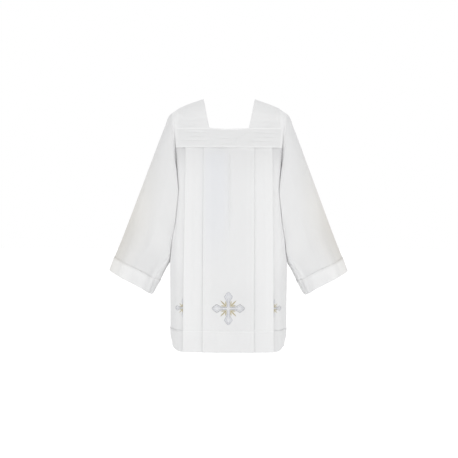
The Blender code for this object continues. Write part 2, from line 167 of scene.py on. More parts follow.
# --- The drape -----------------------------------------------------------------------------------
# A soft fold: where its middle starts, how far it wanders per unit of length, where along the
# cloth it starts, is full, begins to fade and ends, its half width, and its depth into the
# garment, which is negative on a ridge. On the body a place is the distance from the middle,
# and a length is a drop. On a sleeve a place is an angle in degrees, with 0 at the outer edge and
# 90 at the front, and a length is the share of the way from the shoulder to the cuff.
Fold = namedtuple("Fold", "place lean start full fade end half_width depth")
FRONT_FOLDS = [
    Fold(0.001, 0.00, 0.19, 0.24, 0.40, 0.62, 0.0042, 0.0040),
    Fold(0.000, 0.02, 0.19, 0.28, 0.40, 0.80, 0.0200, 0.0022),
    Fold(-0.050, 0.03, 0.20, 0.34, 0.55, 0.90, 0.0260, 0.0034),
    Fold(0.016, 0.01, 0.19, 0.26, 0.45, 0.78, 0.0110, -0.0014),
    Fold(0.058, -0.02, 0.22, 0.42, 0.66, 0.95, 0.0230, 0.0022),
    Fold(-0.088, 0.00, 0.24, 0.46, 0.80, 1.05, 0.0110, -0.0012),
    Fold(0.086, 0.01, 0.20, 0.36, 0.70, 1.05, 0.0120, -0.0014),
    Fold(-0.128, -0.01, 0.19, 0.33, 0.60, 0.93, 0.0150, 0.0020),
    Fold(0.130, 0.01, 0.21, 0.38, 0.72, 1.00, 0.0160, 0.0022),
    Fold(-0.022, -0.03, 0.60, 0.82, 1.00, 1.20, 0.0240, -0.0026),
    Fold(0.036, 0.02, 0.66, 0.88, 1.00, 1.20, 0.0220, 0.0024),
    Fold(-0.076, 0.02, 0.68, 0.90, 1.00, 1.20, 0.0180, 0.0022),
    Fold(0.090, 0.00, 0.70, 0.92, 1.00, 1.20, 0.0170, -0.0020),
    Fold(-0.212, -0.03, 0.36, 0.52, 0.80, 1.10, 0.0160, 0.0035),
    Fold(0.216, 0.02, 0.38, 0.56, 0.84, 1.10, 0.0170, 0.0038),
    Fold(-0.258, 0.04, 0.40, 0.62, 1.00, 1.20, 0.0180, -0.0032),
    Fold(0.262, -0.03, 0.42, 0.60, 1.00, 1.20, 0.0160, -0.0030),
]
BACK_FOLDS = [
    Fold(0.000, 0.00, 0.17, 0.22, 0.36, 0.66, 0.0090, 0.0030),
    Fold(0.046, -0.03, 0.20, 0.36, 0.60, 0.92, 0.0250, 0.0032),
    Fold(-0.060, 0.01, 0.22, 0.38, 0.52, 0.86, 0.0240, 0.0024),
    Fold(-0.020, 0.02, 0.24, 0.40, 0.62, 0.90, 0.0140, -0.0016),
    Fold(0.084, 0.00, 0.26, 0.44, 0.78, 1.05, 0.0120, -0.0014),
    Fold(-0.130, 0.01, 0.20, 0.34, 0.62, 0.96, 0.0150, 0.0022),
    Fold(0.126, -0.01, 0.22, 0.40, 0.70, 1.00, 0.0160, 0.0020),
    Fold(0.020, 0.03, 0.62, 0.84, 1.00, 1.20, 0.0230, -0.0028),
    Fold(-0.046, -0.02, 0.64, 0.86, 1.00, 1.20, 0.0220, 0.0024),
    Fold(-0.086, 0.00, 0.72, 0.92, 1.00, 1.20, 0.0170, -0.0022),
    Fold(0.214, 0.03, 0.36, 0.54, 0.82, 1.10, 0.0170, 0.0036),
    Fold(-0.218, -0.02, 0.38, 0.58, 0.84, 1.10, 0.0160, 0.0034),
    Fold(-0.262, 0.03, 0.42, 0.62, 1.00, 1.20, 0.0170, -0.0030),
    Fold(0.258, -0.04, 0.40, 0.60, 1.00, 1.20, 0.0180, -0.0032),
]
BAND_FOLDS = [
    Fold(-0.120, 0.80, 0.126, 0.146, 0.172, 0.196, 0.0160, 0.0014),
    Fold(0.105, -0.70, 0.128, 0.150, 0.176, 0.198, 0.0170, 0.0014),
    Fold(-0.060, 0.20, 0.124, 0.136, 0.160, 0.190, 0.0180, -0.0010),
    Fold(0.000, 0.00, 0.118, 0.126, 0.140, 0.165, 0.0240, 0.0012),
]
# A short crease across the band: where its middle lies, its tilt in degrees, its half length
# and half width, and its depth into the garment.
Crease = namedtuple("Crease", "place drop tilt half_length half_width depth")
BAND_CREASES = [
    Crease(-0.009, 0.1830, 0, 0.030, 0.0026, 0.0016),
    Crease(-0.006, 0.1600, 2, 0.036, 0.0030, 0.0013),
    Crease(0.052, 0.1460, -30, 0.024, 0.0030, 0.0012),
    Crease(0.032, 0.1700, -66, 0.026, 0.0046, -0.0016),
    Crease(-0.004, 0.1380, -8, 0.024, 0.0055, -0.0010),
    Crease(-0.128, 0.1380, 1, 0.048, 0.0030, 0.0016),
    Crease(-0.116, 0.1540, -2, 0.040, 0.0028, 0.0013),
    Crease(-0.130, 0.1700, 1, 0.044, 0.0028, 0.0015),
    Crease(0.126, 0.1400, 2, 0.044, 0.0030, 0.0016),
    Crease(0.138, 0.1560, -1, 0.034, 0.0028, 0.0013),
    Crease(0.122, 0.1720, 1, 0.044, 0.0030, 0.0014),
    Crease(0.092, 0.1800, 4, 0.034, 0.0036, -0.0008),
    Crease(-0.080, 0.1760, -5, 0.030, 0.0040, -0.0008),
]
# The sleeves' folds: one list for each sleeve, since no two hang alike.
SLEEVE_DRAPE = {
    1: [
        Fold(20, 60, 0.26, 0.54, 1.00, 1.30, 11, -0.0050),
        Fold(58, 60, 0.46, 0.80, 1.04, 1.30, 13, 0.0110),
        Fold(84, 56, 0.40, 0.74, 1.04, 1.30, 13, -0.0062),
        Fold(104, 40, 0.34, 0.62, 1.00, 1.30, 12, 0.0050),
        Fold(140, 10, 0.10, 0.36, 0.80, 1.20, 14, 0.0050),
        Fold(78, -20, 0.02, 0.10, 0.22, 0.42, 16, 0.0030),
        Fold(-36, -16, 0.20, 0.50, 1.00, 1.30, 12, 0.0046),
        Fold(-80, -18, 0.26, 0.58, 1.00, 1.30, 13, -0.0044),
        Fold(-116, -10, 0.16, 0.44, 0.90, 1.20, 14, 0.0052),
        Fold(-70, 20, 0.02, 0.10, 0.24, 0.44, 16, 0.0030),
    ],
    -1: [
        Fold(18, 62, 0.28, 0.56, 1.00, 1.30, 11, -0.0048),
        Fold(56, 62, 0.44, 0.78, 1.04, 1.30, 13, 0.0115),
        Fold(82, 58, 0.42, 0.76, 1.04, 1.30, 13, -0.0066),
        Fold(100, 44, 0.32, 0.60, 1.00, 1.30, 12, 0.0048),
        Fold(142, 8, 0.12, 0.40, 0.84, 1.20, 13, 0.0048),
        Fold(74, -18, 0.02, 0.12, 0.24, 0.40, 17, 0.0030),
        Fold(-32, -14, 0.18, 0.48, 1.00, 1.30, 12, 0.0048),
        Fold(-76, -20, 0.28, 0.60, 1.00, 1.30, 12, -0.0046),
        Fold(-120, -8, 0.14, 0.42, 0.88, 1.20, 14, 0.0050),
        Fold(-66, 18, 0.02, 0.10, 0.22, 0.42, 16, 0.0030),
    ],
}


# --- Settings that a user would change -----------------------------------------------------------
def length_setting(name, description, default, low, high):
    return FloatProperty(
        name=name, description=description, default=default, min=low, max=high, unit="LENGTH")


def share_setting(name, description, default, low, high):
    return FloatProperty(
        name=name, description=description, default=default, min=low, max=high, subtype="FACTOR")


def colour_setting(name, description, default):
    return FloatVectorProperty(
        name=name, description=description, default=default, min=0.0, max=1.0, subtype="COLOR")


class SurpliceClothSettings(bpy.types.PropertyGroup):
    """Thicknesses and colours of the cloth."""

    plain_wall: length_setting("Plain cloth", "Thickness of the single cloth", 0.0008, 0.0003, 0.002)
    doubled_wall: length_setting(
        "Doubled cloth", "Thickness of the bands, hems and cuffs", 0.0015, 0.0005, 0.003)
    fold_depth: share_setting(
        "Fold depth", "How deep the soft folds are, as a share of their usual depth", 1.0, 0.0, 2.0)
    thread_spacing: length_setting(
        "Thread spacing", "Distance between two threads of the weave", 0.0007, 0.0002, 0.003)
    plain_colour: colour_setting("Plain colour", "Colour of one layer of cloth", (0.802, 0.803, 0.806))
    doubled_colour: colour_setting(
        "Doubled colour", "Colour where several layers lie together", (0.838, 0.839, 0.841))


class SurplicePleatSettings(bpy.types.PropertyGroup):
    """The knife pleats of the front and back."""

    underlap: length_setting(
        "Underlap", "How far the cloth runs back under a pleat's folded edge", 0.030, 0.010, 0.050)
    looseness: share_setting(
        "Looseness", "How far apart the layers lie, as a share of their usual distance", 1.0, 0.7, 1.3)


class SurpliceStitchSettings(bpy.types.PropertyGroup):
    """The rows of sewing along the edges and seams."""

    spacing: length_setting("Spacing", "From the start of one stitch to the next", 0.0030, 0.0015, 0.008)
    length: length_setting("Length", "Length of a stitch", 0.0024, 0.001, 0.006)
    thread: length_setting("Thread", "Thickness of the sewing thread", 0.0004, 0.0001, 0.001)
    colour: colour_setting("Colour", "Colour of the sewing thread", (0.86, 0.865, 0.87))


class SurpliceEmbroiderySettings(bpy.types.PropertyGroup):
    """The crosses above the hem."""

    cross_half: length_setting(
        "Half size", "From the middle of the large cross to the tip of an arm", 0.0612, 0.02, 0.08)
    side_share: share_setting(
        "Side share", "Size of a side cross, as a share of the large one's", 0.60, 0.3, 1.0)
    height: length_setting(
        "Height", "Height of the crosses' middles above the hem's seam", 0.085, 0.07, 0.3)
    thread: length_setting("Thread", "Thickness of the embroidery thread", 0.00050, 0.0002, 0.001)
    outline_colour: colour_setting("Outline", "Colour of the silver outline", (0.33, 0.34, 0.355))
    # The upright arms' outline is the same silver thread, drawn lighter: painted sheen where its stitches
    # catch the light.
    upright_sheen_colour: colour_setting(
        "Edge", "Colour of the silver outline on the upright arms", (0.46, 0.475, 0.52))
    fill_colour: colour_setting("Fill", "Colour of the pale silver fill", (0.84, 0.845, 0.87))
    gold_colour: colour_setting("Gold", "Colour of the gold leaves", (0.60, 0.53, 0.33))


class SurpliceStageSettings(bpy.types.PropertyGroup):
    """Floor, light and camera."""

    floor_drop: length_setting("Floor", "From the shoulders down to the floor", 1.45, 1.0, 2.0)
    ambient: FloatProperty(
        name="Ambient", description="Strength of the light that comes from all round",
        default=0.538, min=0.0, max=3.0,
    )
    overhead: share_setting(
        "Overhead share", "How much more of the ambient light comes from above than from the side",
        1.00, 0.0, 1.0)
    key: FloatProperty(
        name="Key", description="Power of the soft light in front",
        default=10.0, min=0.0, max=500.0, unit="POWER",
    )
    camera_distance: length_setting("Camera", "From the garment's middle to the camera", 3.6, 1.0, 10.0)


# --- Curves and small sums -----------------------------------------------------------------------
def ease(t):
    """0 below 0, 1 above 1, and smooth between."""
    t = np.clip(t, 0.0, 1.0)
    return t * t * (3 - 2 * t)


def past(value, start, width):
    """0 up to start, 1 from a width beyond it, and smooth between."""
    return ease((value - start) / width)


def shown(stretch, place):
    """How strongly a stretch shows at a place."""
    rise = past(place, stretch.start, stretch.come)
    return stretch.strength * rise * (1 - past(place, stretch.end, stretch.go))


def bell(distance, half_width):
    """1 in the middle, falling smoothly to 0 at the half width."""
    return 1 - ease(np.abs(distance) / half_width)


def hump(distance, half_width):
    """1 in the middle, about a third at the half width, and smoothly less beyond."""
    return np.exp(-((distance / half_width) ** 2))


def groove(distance):
    """1 on a row of stitches, falling smoothly to 0 beside it."""
    return hump(distance, GROOVE_HALF_WIDTH)


def smooth_through(keys, values, at):
    """A smooth curve through values at rising keys, read at one place or at many."""
    keys = np.asarray(keys, float)
    values = np.asarray(values, float)
    slopes = np.gradient(values, keys, axis=0)
    at = np.clip(np.asarray(at, float), keys[0], keys[-1])
    i = np.clip(np.searchsorted(keys, at, side="right") - 1, 0, len(keys) - 2)
    step = keys[i + 1] - keys[i]
    t = (at - keys[i]) / step
    wide = np.shape(t) + (1,) * (values.ndim - 1)
    t, step = np.reshape(t, wide), np.reshape(step, wide)
    return (
        (1 + 2 * t) * (1 - t) ** 2 * values[i]
        + t * (1 - t) ** 2 * step * slopes[i]
        + t * t * (3 - 2 * t) * values[i + 1]
        + t * t * (t - 1) * step * slopes[i + 1]
    )


def table_value(table, name, drop):
    return smooth_through([row.drop for row in table], [getattr(row, name) for row in table], drop)


def signed_power(value, power):
    return np.sign(value) * np.abs(value) ** power


def unit(vectors):
    return vectors / np.maximum(np.linalg.norm(vectors, axis=-1, keepdims=True), 1e-12)


def turn_between(angles, middle):
    """Angles from a middle one in degrees, from -180 to 180."""
    return (angles - middle + 180) % 360 - 180


def running_length(steps):
    """How far along a chain each of its points lies, from the lengths of its steps."""
    return np.concatenate([[0.0], np.cumsum(steps)])


def spaced(start, end, spacing):
    """Places from start to end, close together near each end."""
    length = abs(end - start)
    near = np.linspace(0, spacing.reach, round(spacing.reach / spacing.fine) + 1)
    middle_count = max(2, round((length - 2 * spacing.reach) / spacing.coarse) + 1)
    middle = np.linspace(spacing.reach, length - spacing.reach, middle_count)
    places = np.concatenate([near[:-1], middle, (length - near[:-1])[::-1]])
    return start + places * (1 if end >= start else -1)


def mirrored(half):
    """A whole row's values from those of its one half, the first of which is the middle's."""
    return np.concatenate([half[:0:-1], half])


def joined_halves(half_row):
    """A row from -X to +X from a function of the side, 1 or -1, that gives the half from the middle."""
    return np.concatenate([half_row(-1)[:0:-1], half_row(1)])


def crease_depth(creases, place, drop):
    """The depth of all short creases at places along the cloth and drops."""
    total = 0.0
    for crease in creases:
        c, n = math.cos(math.radians(crease.tilt)), math.sin(math.radians(crease.tilt))
        aside, below = place - crease.place, drop - crease.drop
        along = (aside * c + below * n) / crease.half_length
        off = (below * c - aside * n) / crease.half_width
        total = total + crease.depth * np.exp(-(along ** 2) - off ** 2)
    return total


def fold_depth(folds, place, length, ring=False):
    """How far the soft folds take the cloth into the garment at a place and a length. On a ring
    a place is an angle."""
    share = bpy.context.scene.surplice_cloth.fold_depth
    total = np.zeros(np.broadcast(place, length).shape)
    for fold in folds:
        middle = fold.place + fold.lean * (length - fold.start)
        rise = past(length, fold.start, fold.full - fold.start)
        fall = 1 - past(length, fold.fade, fold.end - fold.fade)
        aside = turn_between(place, middle) if ring else place - middle
        total = total + fold.depth * share * rise * fall * hump(aside, fold.half_width)
    return total


# --- The garment's forms -------------------------------------------------------------------------
ARMHOLE_HALF_HEIGHT = (UNDERARM_DROP - ARMHOLE_TOP_DROP) / 2
SEAM_TUCK_WAY = (-0.45, 0.89)  # its direction: towards the middle, and in from the front or back
SEAM_TUCK_TURN = Stretch(SEAM_TUCK, start=52, come=36, end=122, go=50)  # in degrees round the armhole


def armhole(angles):
    """Points of the seam between body and sleeve on the +X side. 0 is its top, and 90 its front."""
    turn = np.radians(np.asarray(angles, float))
    power = 2 / ARMHOLE_SQUARENESS
    drop = ARMHOLE_TOP_DROP + ARMHOLE_HALF_HEIGHT * (1 - signed_power(np.cos(turn), power))
    y = -ARMHOLE_HALF_DEPTH * signed_power(np.sin(turn), power)
    return np.stack([table_value(ARMHOLE_SIDES, "half_width", drop), y, -drop], axis=-1)


def armhole_angle(drop):
    """The front angle at which the armhole reaches a drop."""
    share = 1 - (drop - ARMHOLE_TOP_DROP) / ARMHOLE_HALF_HEIGHT
    return float(np.degrees(np.arccos(signed_power(share, ARMHOLE_SQUARENESS / 2))))


BAND_TOP_ANGLE = armhole_angle(BAND_TOP_DROP)
BAND_BOTTOM_ANGLE = armhole_angle(BAND_BOTTOM_DROP)


def seam_tuck(angles, away):
    """How the cloth dips in along the front and back of the armhole, away from its seam on
    either side."""
    turn = np.abs(np.asarray(angles, float))
    depth = shown(SEAM_TUCK_TURN, turn) * hump(away, SEAM_TUCK_REACH)
    inward, back = SEAM_TUCK_WAY
    way = np.stack([np.full(turn.shape, inward), back * np.sign(angles), np.zeros(turn.shape)], axis=-1)
    return depth[..., None] * way


def outer_fold_at(drop):
    """How far from the middle the outer pleat's folded edge lies at a drop."""
    share = (drop - BAND_BOTTOM_DROP) / (HEM_DROP - BAND_BOTTOM_DROP)
    return OUTER_FOLD_AT_TOP + share * (OUTER_FOLD_AT_HEM - OUTER_FOLD_AT_TOP)


class TorsoOutline:
    """The level outline of the body's front half on the +X side, from its middle to its edge."""

    FINE = 900
    REACH = 0.002  # over which its direction is taken

    def __init__(self, drop):
        half_depth = float(table_value(TORSO_SECTIONS, "half_depth", drop))
        squareness = float(table_value(TORSO_SECTIONS, "squareness", drop))
        if drop < UNDERARM_DROP:
            edge = armhole(armhole_angle(drop))
            share = (1 - abs(edge[1] / half_depth) ** squareness) ** (1 / squareness)
            half_width = edge[0] / share
            last = abs(edge[1]) / half_depth
        else:
            half_width = float(table_value(TORSO_SIDES, "half_width", drop))
            last = 0.0
        end = math.acos(last ** (squareness / 2))
        turn = end * np.sin(np.linspace(0, math.pi / 2, self.FINE))
        power = 2 / squareness
        self.x = half_width * np.abs(np.sin(turn)) ** power
        self.y = -half_depth * np.abs(np.cos(turn)) ** power
        if drop >= UNDERARM_DROP:
            self.y[-1] = 0.0
        self.along = running_length(np.hypot(np.diff(self.x), np.diff(self.y)))
        self.length = float(self.along[-1])

    def point(self, distance):
        return np.interp(distance, self.along, self.x), np.interp(distance, self.along, self.y)

    def moved_in(self, distance, inset):
        """Points at distances from the middle, moved into the garment."""
        x, y = self.point(distance)
        before = self.point(np.maximum(0.0, distance - self.REACH))
        after = self.point(distance + self.REACH)
        dx, dy = after[0] - before[0], after[1] - before[1]
        size = np.maximum(np.hypot(dx, dy), 1e-9)
        return x - dy / size * inset, y + dx / size * inset


# What the cloth's material reads at each point, each from 0 to 1 but for the second. After how doubled the
# cloth is come a painted tint, warm light where positive and cool shade where negative, then painted light
# and painted shade.
LOOKS = ("doubled", "painted_light_tint", "painted_light", "painted_shade")


class Surface:
    """A piece of cloth as a grid of points on its middle, from its top row down."""

    def __init__(self, grid, wall, ring=False, flip=False, **looks):
        self.grid = np.asarray(grid, float)
        self.wall = wall
        self.ring = ring
        shape = self.grid.shape[:2]
        self.looks = {name: np.broadcast_to(looks.get(name, 0.0), shape) for name in LOOKS}
        down = np.gradient(self.grid, axis=0)
        if ring:
            across = np.roll(self.grid, -1, axis=1) - np.roll(self.grid, 1, axis=1)
        else:
            across = np.gradient(self.grid, axis=1)
        self.normals = unit(np.cross(down, across)) * (-1 if flip else 1)

    def outer(self):
        return self.grid + self.normals * (self.wall / 2)

    def row_line(self, index):
        """The points and outward directions along a row, on the cloth's outer face."""
        points, normals = self.outer()[index], self.normals[index]
        if self.ring:
            points = np.concatenate([points, points[:1]])
            normals = np.concatenate([normals, normals[:1]])
        return points, normals

    def column_line(self, index):
        return self.outer()[:, index], self.normals[:, index]

    def closed_grid(self):
        """The grid, with its first column once more at the end of a ring."""
        return np.concatenate([self.grid, self.grid[:, :1]], axis=1) if self.ring else self.grid

    def row_lengths(self):
        return np.linalg.norm(np.diff(self.closed_grid(), axis=1), axis=2).sum(axis=1)

    def column_lengths(self):
        return np.linalg.norm(np.diff(self.grid, axis=0), axis=2).sum(axis=0)

    def area(self):
        grid = self.closed_grid()
        across, down = np.diff(grid, axis=1)[:-1], np.diff(grid, axis=0)[:, :-1]
        return float(np.linalg.norm(np.cross(across, down), axis=2).sum())


def bordered(points, reach, ring):
    """The grid with one more row or column past each open edge, for the cloth's rounded rim."""
    def beyond(last, before):
        return last + unit(last - before) * reach

    if not ring:
        first, last = beyond(points[:, 0], points[:, 1]), beyond(points[:, -1], points[:, -2])
        points = np.concatenate([first[:, None], points, last[:, None]], axis=1)
    first, last = beyond(points[0], points[1]), beyond(points[-1], points[-2])
    return np.concatenate([first[None], points, last[None]], axis=0)


def cloth_uv(surface):
    """Distances across and down the cloth in metres, for the bordered grid."""
    grid = bordered(surface.grid, surface.wall / 2, surface.ring)
    if surface.ring:
        grid = np.concatenate([grid, grid[:, :1]], axis=1)
    across = np.linalg.norm(np.diff(grid, axis=1), axis=2)
    down = np.linalg.norm(np.diff(grid, axis=0), axis=2).mean(axis=1)
    u = np.concatenate([np.zeros((len(grid), 1)), np.cumsum(across, axis=1)], axis=1)
    u = u - u.mean(axis=1, keepdims=True)
    v = running_length(down)
    return np.stack([u, np.broadcast_to(-v[:, None], u.shape)], axis=-1)


def cloth_shell(surface):
    """The points, faces and UV corners of one closed shell of cloth with rounded rims."""
    rows, columns = surface.grid.shape[:2]
    half = surface.wall / 2
    side = 0 if surface.ring else 1
    rim = bordered(surface.grid, half, surface.ring)
    inside = np.zeros(rim.shape[:2], bool)
    inside[1:-1, side:side + columns] = True
    outer_ids = np.arange(rim.shape[0] * rim.shape[1]).reshape(rim.shape[:2])
    inner_ids = outer_ids.copy()
    inner_ids[inside] = outer_ids.size + np.arange(rows * columns)
    outer_points = rim.copy()
    outer_points[inside] = (surface.grid + surface.normals * half).reshape(-1, 3)
    inner_points = (surface.grid - surface.normals * half).reshape(-1, 3)
    points = np.concatenate([outer_points.reshape(-1, 3), inner_points])

    last_row, last_column = rim.shape[0] - 1, rim.shape[1] - 1 + surface.ring
    i, j = (index.ravel() for index in np.meshgrid(
        np.arange(last_row), np.arange(last_column), indexing="ij"))
    k = (j + 1) % rim.shape[1] if surface.ring else j + 1
    corners = [(i, j, j), (i + 1, j, j), (i + 1, k, j + 1), (i, k, j + 1)]
    uv = cloth_uv(surface)
    faces, face_uv = [], []
    for ids, turned_corners in ((outer_ids, corners), (inner_ids, corners[::-1])):
        faces.append(np.stack([ids[a, b] for a, b, _ in turned_corners], axis=1))
        face_uv.append(np.stack([uv[a, c] for a, _, c in turned_corners], axis=1))
    faces, face_uv = np.concatenate(faces), np.concatenate(face_uv)
    corner = points[faces]
    volume = np.einsum("ij,ij->i", corner[:, 0], np.cross(corner[:, 1], corner[:, 2])).sum()
    volume += np.einsum("ij,ij->i", corner[:, 0], np.cross(corner[:, 2], corner[:, 3])).sum()
    if volume < 0:  # the shell was inside out
        faces, face_uv = faces[:, ::-1], face_uv[:, ::-1]
    return points, faces, face_uv


def store(mesh, name, values, kind="FLOAT"):
    """Keeps a number or a vector at each point of a mesh."""
    field = "vector" if kind == "FLOAT_VECTOR" else "value"
    mesh.attributes.new(name, kind, "POINT").data.foreach_set(field, values.astype(np.float32).ravel())


def linked(name, mesh):
    """A new object with a mesh, in the scene."""
    piece = bpy.data.objects.new(name, mesh)
    bpy.context.scene.collection.objects.link(piece)
    return piece


def cloth_mesh(name, surface, material):
    """A piece of cloth as an object, with a UV map in metres and its looks at each point."""
    points, faces, face_uv = cloth_shell(surface)
    mesh = bpy.data.meshes.new(name)
    mesh.from_pydata(points.tolist(), [], faces.tolist())
    layer = mesh.uv_layers.new(name="cloth")
    layer.data.foreach_set("uv", np.ascontiguousarray(face_uv, dtype=np.float32).ravel())
    side = 0 if surface.ring else 1
    for key, values in surface.looks.items():
        padded = np.pad(values, ((1, 1), (side, side)), mode="edge")
        store(mesh, key, np.concatenate([padded.ravel(), values.ravel()]))
    mesh.materials.append(material)
    mesh.shade_smooth()
    return linked(name, mesh)


# --- Bands ---------------------------------------------------------------------------------------
BAND_HALF_COLUMNS = 110
BAND_LIP = 0.0012  # how far the band's lower edge laps over the pleats
BAND_PROUD = 0.0004  # how far the whole band stands out
BAND_CROWN = 0.0008  # and how much further its middle does
BAND_FOOT = Stretch(0.0009, start=0.55, come=0.4)  # and the part that lies on the pleats
BAND_STITCH_DIMPLE = 0.0007
BAND_FADE = 0.02  # over which all this ends beside the armhole
BAND_INNER_LAYERS = 0.30  # its doubled look away from its turned-in edges
# The turned-in edges at the top, at the bottom and at the armholes, by the distance from each.
BAND_TOP_EDGE = Stretch(end=0.0055, go=0.003)
BAND_BOTTOM_EDGE = Stretch(end=0.0030, go=0.003)
BAND_END_EDGE = Stretch(end=0.016, go=0.006)
# The painted highlights along the same edges.
BAND_TOP_HIGHLIGHT = Stretch(0.42, end=0.0026, go=0.002)
BAND_BOTTOM_HIGHLIGHT = Stretch(0.15, end=0.0035, go=0.004)
BAND_END_HIGHLIGHT = Stretch(0.38, end=0.010, go=0.006)


def band_surface(facing):
    """The chest band, or its twin on the back; facing is 1 for the front and -1 for the back."""
    wall = bpy.context.scene.surplice_cloth.doubled_wall
    drops = spaced(BAND_TOP_DROP, BAND_BOTTOM_DROP + BAND_LIP, BAND_ROWS)
    rows, layers, painted_lights = [], [], []
    for drop in drops:
        outline = TorsoOutline(drop)
        share = (drop - BAND_TOP_DROP) / (BAND_BOTTOM_DROP - BAND_TOP_DROP)
        from_top, from_bottom = drop - drops[0], drops[-1] - drop
        distance = outline.length * np.linspace(0, 1, BAND_HALF_COLUMNS)
        from_armhole = outline.length - distance

        def half_row(side):
            dimple = BAND_STITCH_DIMPLE * groove(min(from_top, from_bottom) - STITCH_INSET)
            inset = dimple - BAND_CROWN * math.sin(math.pi * share)
            inset = inset - shown(BAND_FOOT, share) - BAND_PROUD
            place = facing * side * distance
            inset = inset + fold_depth(BAND_FOLDS, place, drop) + crease_depth(BAND_CREASES, place, drop)
            x, y = outline.moved_in(distance, inset * past(from_armhole, 0, BAND_FADE))
            dip = NECK_DIP * np.maximum(0.0, 1 - (x / NECK_HALF_AT_BAND) ** 2) * (1 - ease(share))
            half = np.stack([x, y, -drop - dip], axis=-1)
            half += seam_tuck(np.full(len(x), armhole_angle(drop)), from_armhole)
            return half * [side, facing, 1]

        rows.append(joined_halves(half_row))
        edge = shown(BAND_TOP_EDGE, from_top) + shown(BAND_BOTTOM_EDGE, from_bottom)
        edge = np.maximum(edge, shown(BAND_END_EDGE, from_armhole))
        layers.append(BAND_INNER_LAYERS + (1 - BAND_INNER_LAYERS) * mirrored(edge))
        # Painted highlights along the band's top, bottom and ends.
        rim = shown(BAND_TOP_HIGHLIGHT, from_top) + shown(BAND_BOTTOM_HIGHLIGHT, from_bottom)
        painted_lights.append(mirrored(np.maximum(rim, shown(BAND_END_HIGHLIGHT, from_armhole))))
    return Surface(rows, wall, flip=facing == -1, doubled=np.array(layers), painted_light=np.array(painted_lights))


# --- Shoulders -----------------------------------------------------------------------------------
SHOULDER_HALF_ROWS = 36
SHOULDER_TUCK_ROWS = 3  # they run on behind each band
SHOULDER_TUCK_DEPTH = 0.0013
SHOULDER_STITCH_COLUMN = 3
SHOULDER_STITCH_DIMPLE = 0.0004
RIDGE_FLATTENING = 0.4  # the share of its crown that the piece loses on the ridge
# Where its folds show, by the share of the way from the neck and by the way over the shoulder.
SHOULDER_FOLDED = Stretch(start=0.0, come=0.06, end=0.95, go=0.05)
SHOULDER_FOLDED_WAY = Stretch(end=0.95, go=0.05)
# Painted light makes it a little whiter all over, and more so along the armhole below the ridge as a
# highlight; painted shade makes it darker beside the bands.
SHOULDER_PAINTED_LIGHT = 0.05
ARMHOLE_HIGHLIGHT = Stretch(0.25, start=0.86, come=0.06)
BELOW_RIDGE = Stretch(start=0.25, come=0.2)
BESIDE_BANDS_SHADE = Stretch(0.25, start=0.74, come=0.20)
BEFORE_ARMHOLE = Stretch(end=0.84, go=0.08)
SHOULDER_SHIFT = 0.02  # between the folds of the two shoulders, since no two lie alike
# These folds' places are shares of the way from the neck to the armhole, and their lengths run
# from -1 at the front band to 1 at the back one.
SHOULDER_FOLDS = [
    Fold(0.93, 0.00, -1.60, -0.90, -0.30, 0.10, 0.040, 0.0030),
    Fold(0.82, 0.06, -1.60, -0.95, -0.40, 0.10, 0.060, -0.0034),
    Fold(0.55, 0.10, -1.50, -0.90, -0.50, 0.00, 0.130, 0.0020),
    Fold(0.92, 0.00, -0.10, 0.40, 0.90, 1.60, 0.040, 0.0028),
    Fold(0.80, -0.05, -0.10, 0.45, 0.95, 1.60, 0.060, -0.0030),
    Fold(0.50, -0.10, 0.10, 0.50, 0.90, 1.50, 0.130, 0.0020),
]
# These creases' places are such shares too, and their drops and half widths such lengths.
SHOULDER_CREASES = [
    Crease(0.45, -0.93, 0, 0.34, 0.018, 0.0014),
    Crease(0.50, -0.83, 0, 0.30, 0.020, 0.0018),
    Crease(0.42, -0.70, 3, 0.22, 0.026, 0.0012),
    Crease(0.84, -0.62, 0, 0.12, 0.120, -0.0036),
    Crease(0.70, -0.46, 0, 0.07, 0.200, 0.0022),
    Crease(0.48, 0.91, 0, 0.34, 0.018, 0.0014),
    Crease(0.44, 0.80, 0, 0.26, 0.022, 0.0016),
    Crease(0.86, 0.60, 0, 0.12, 0.150, -0.0026),
]


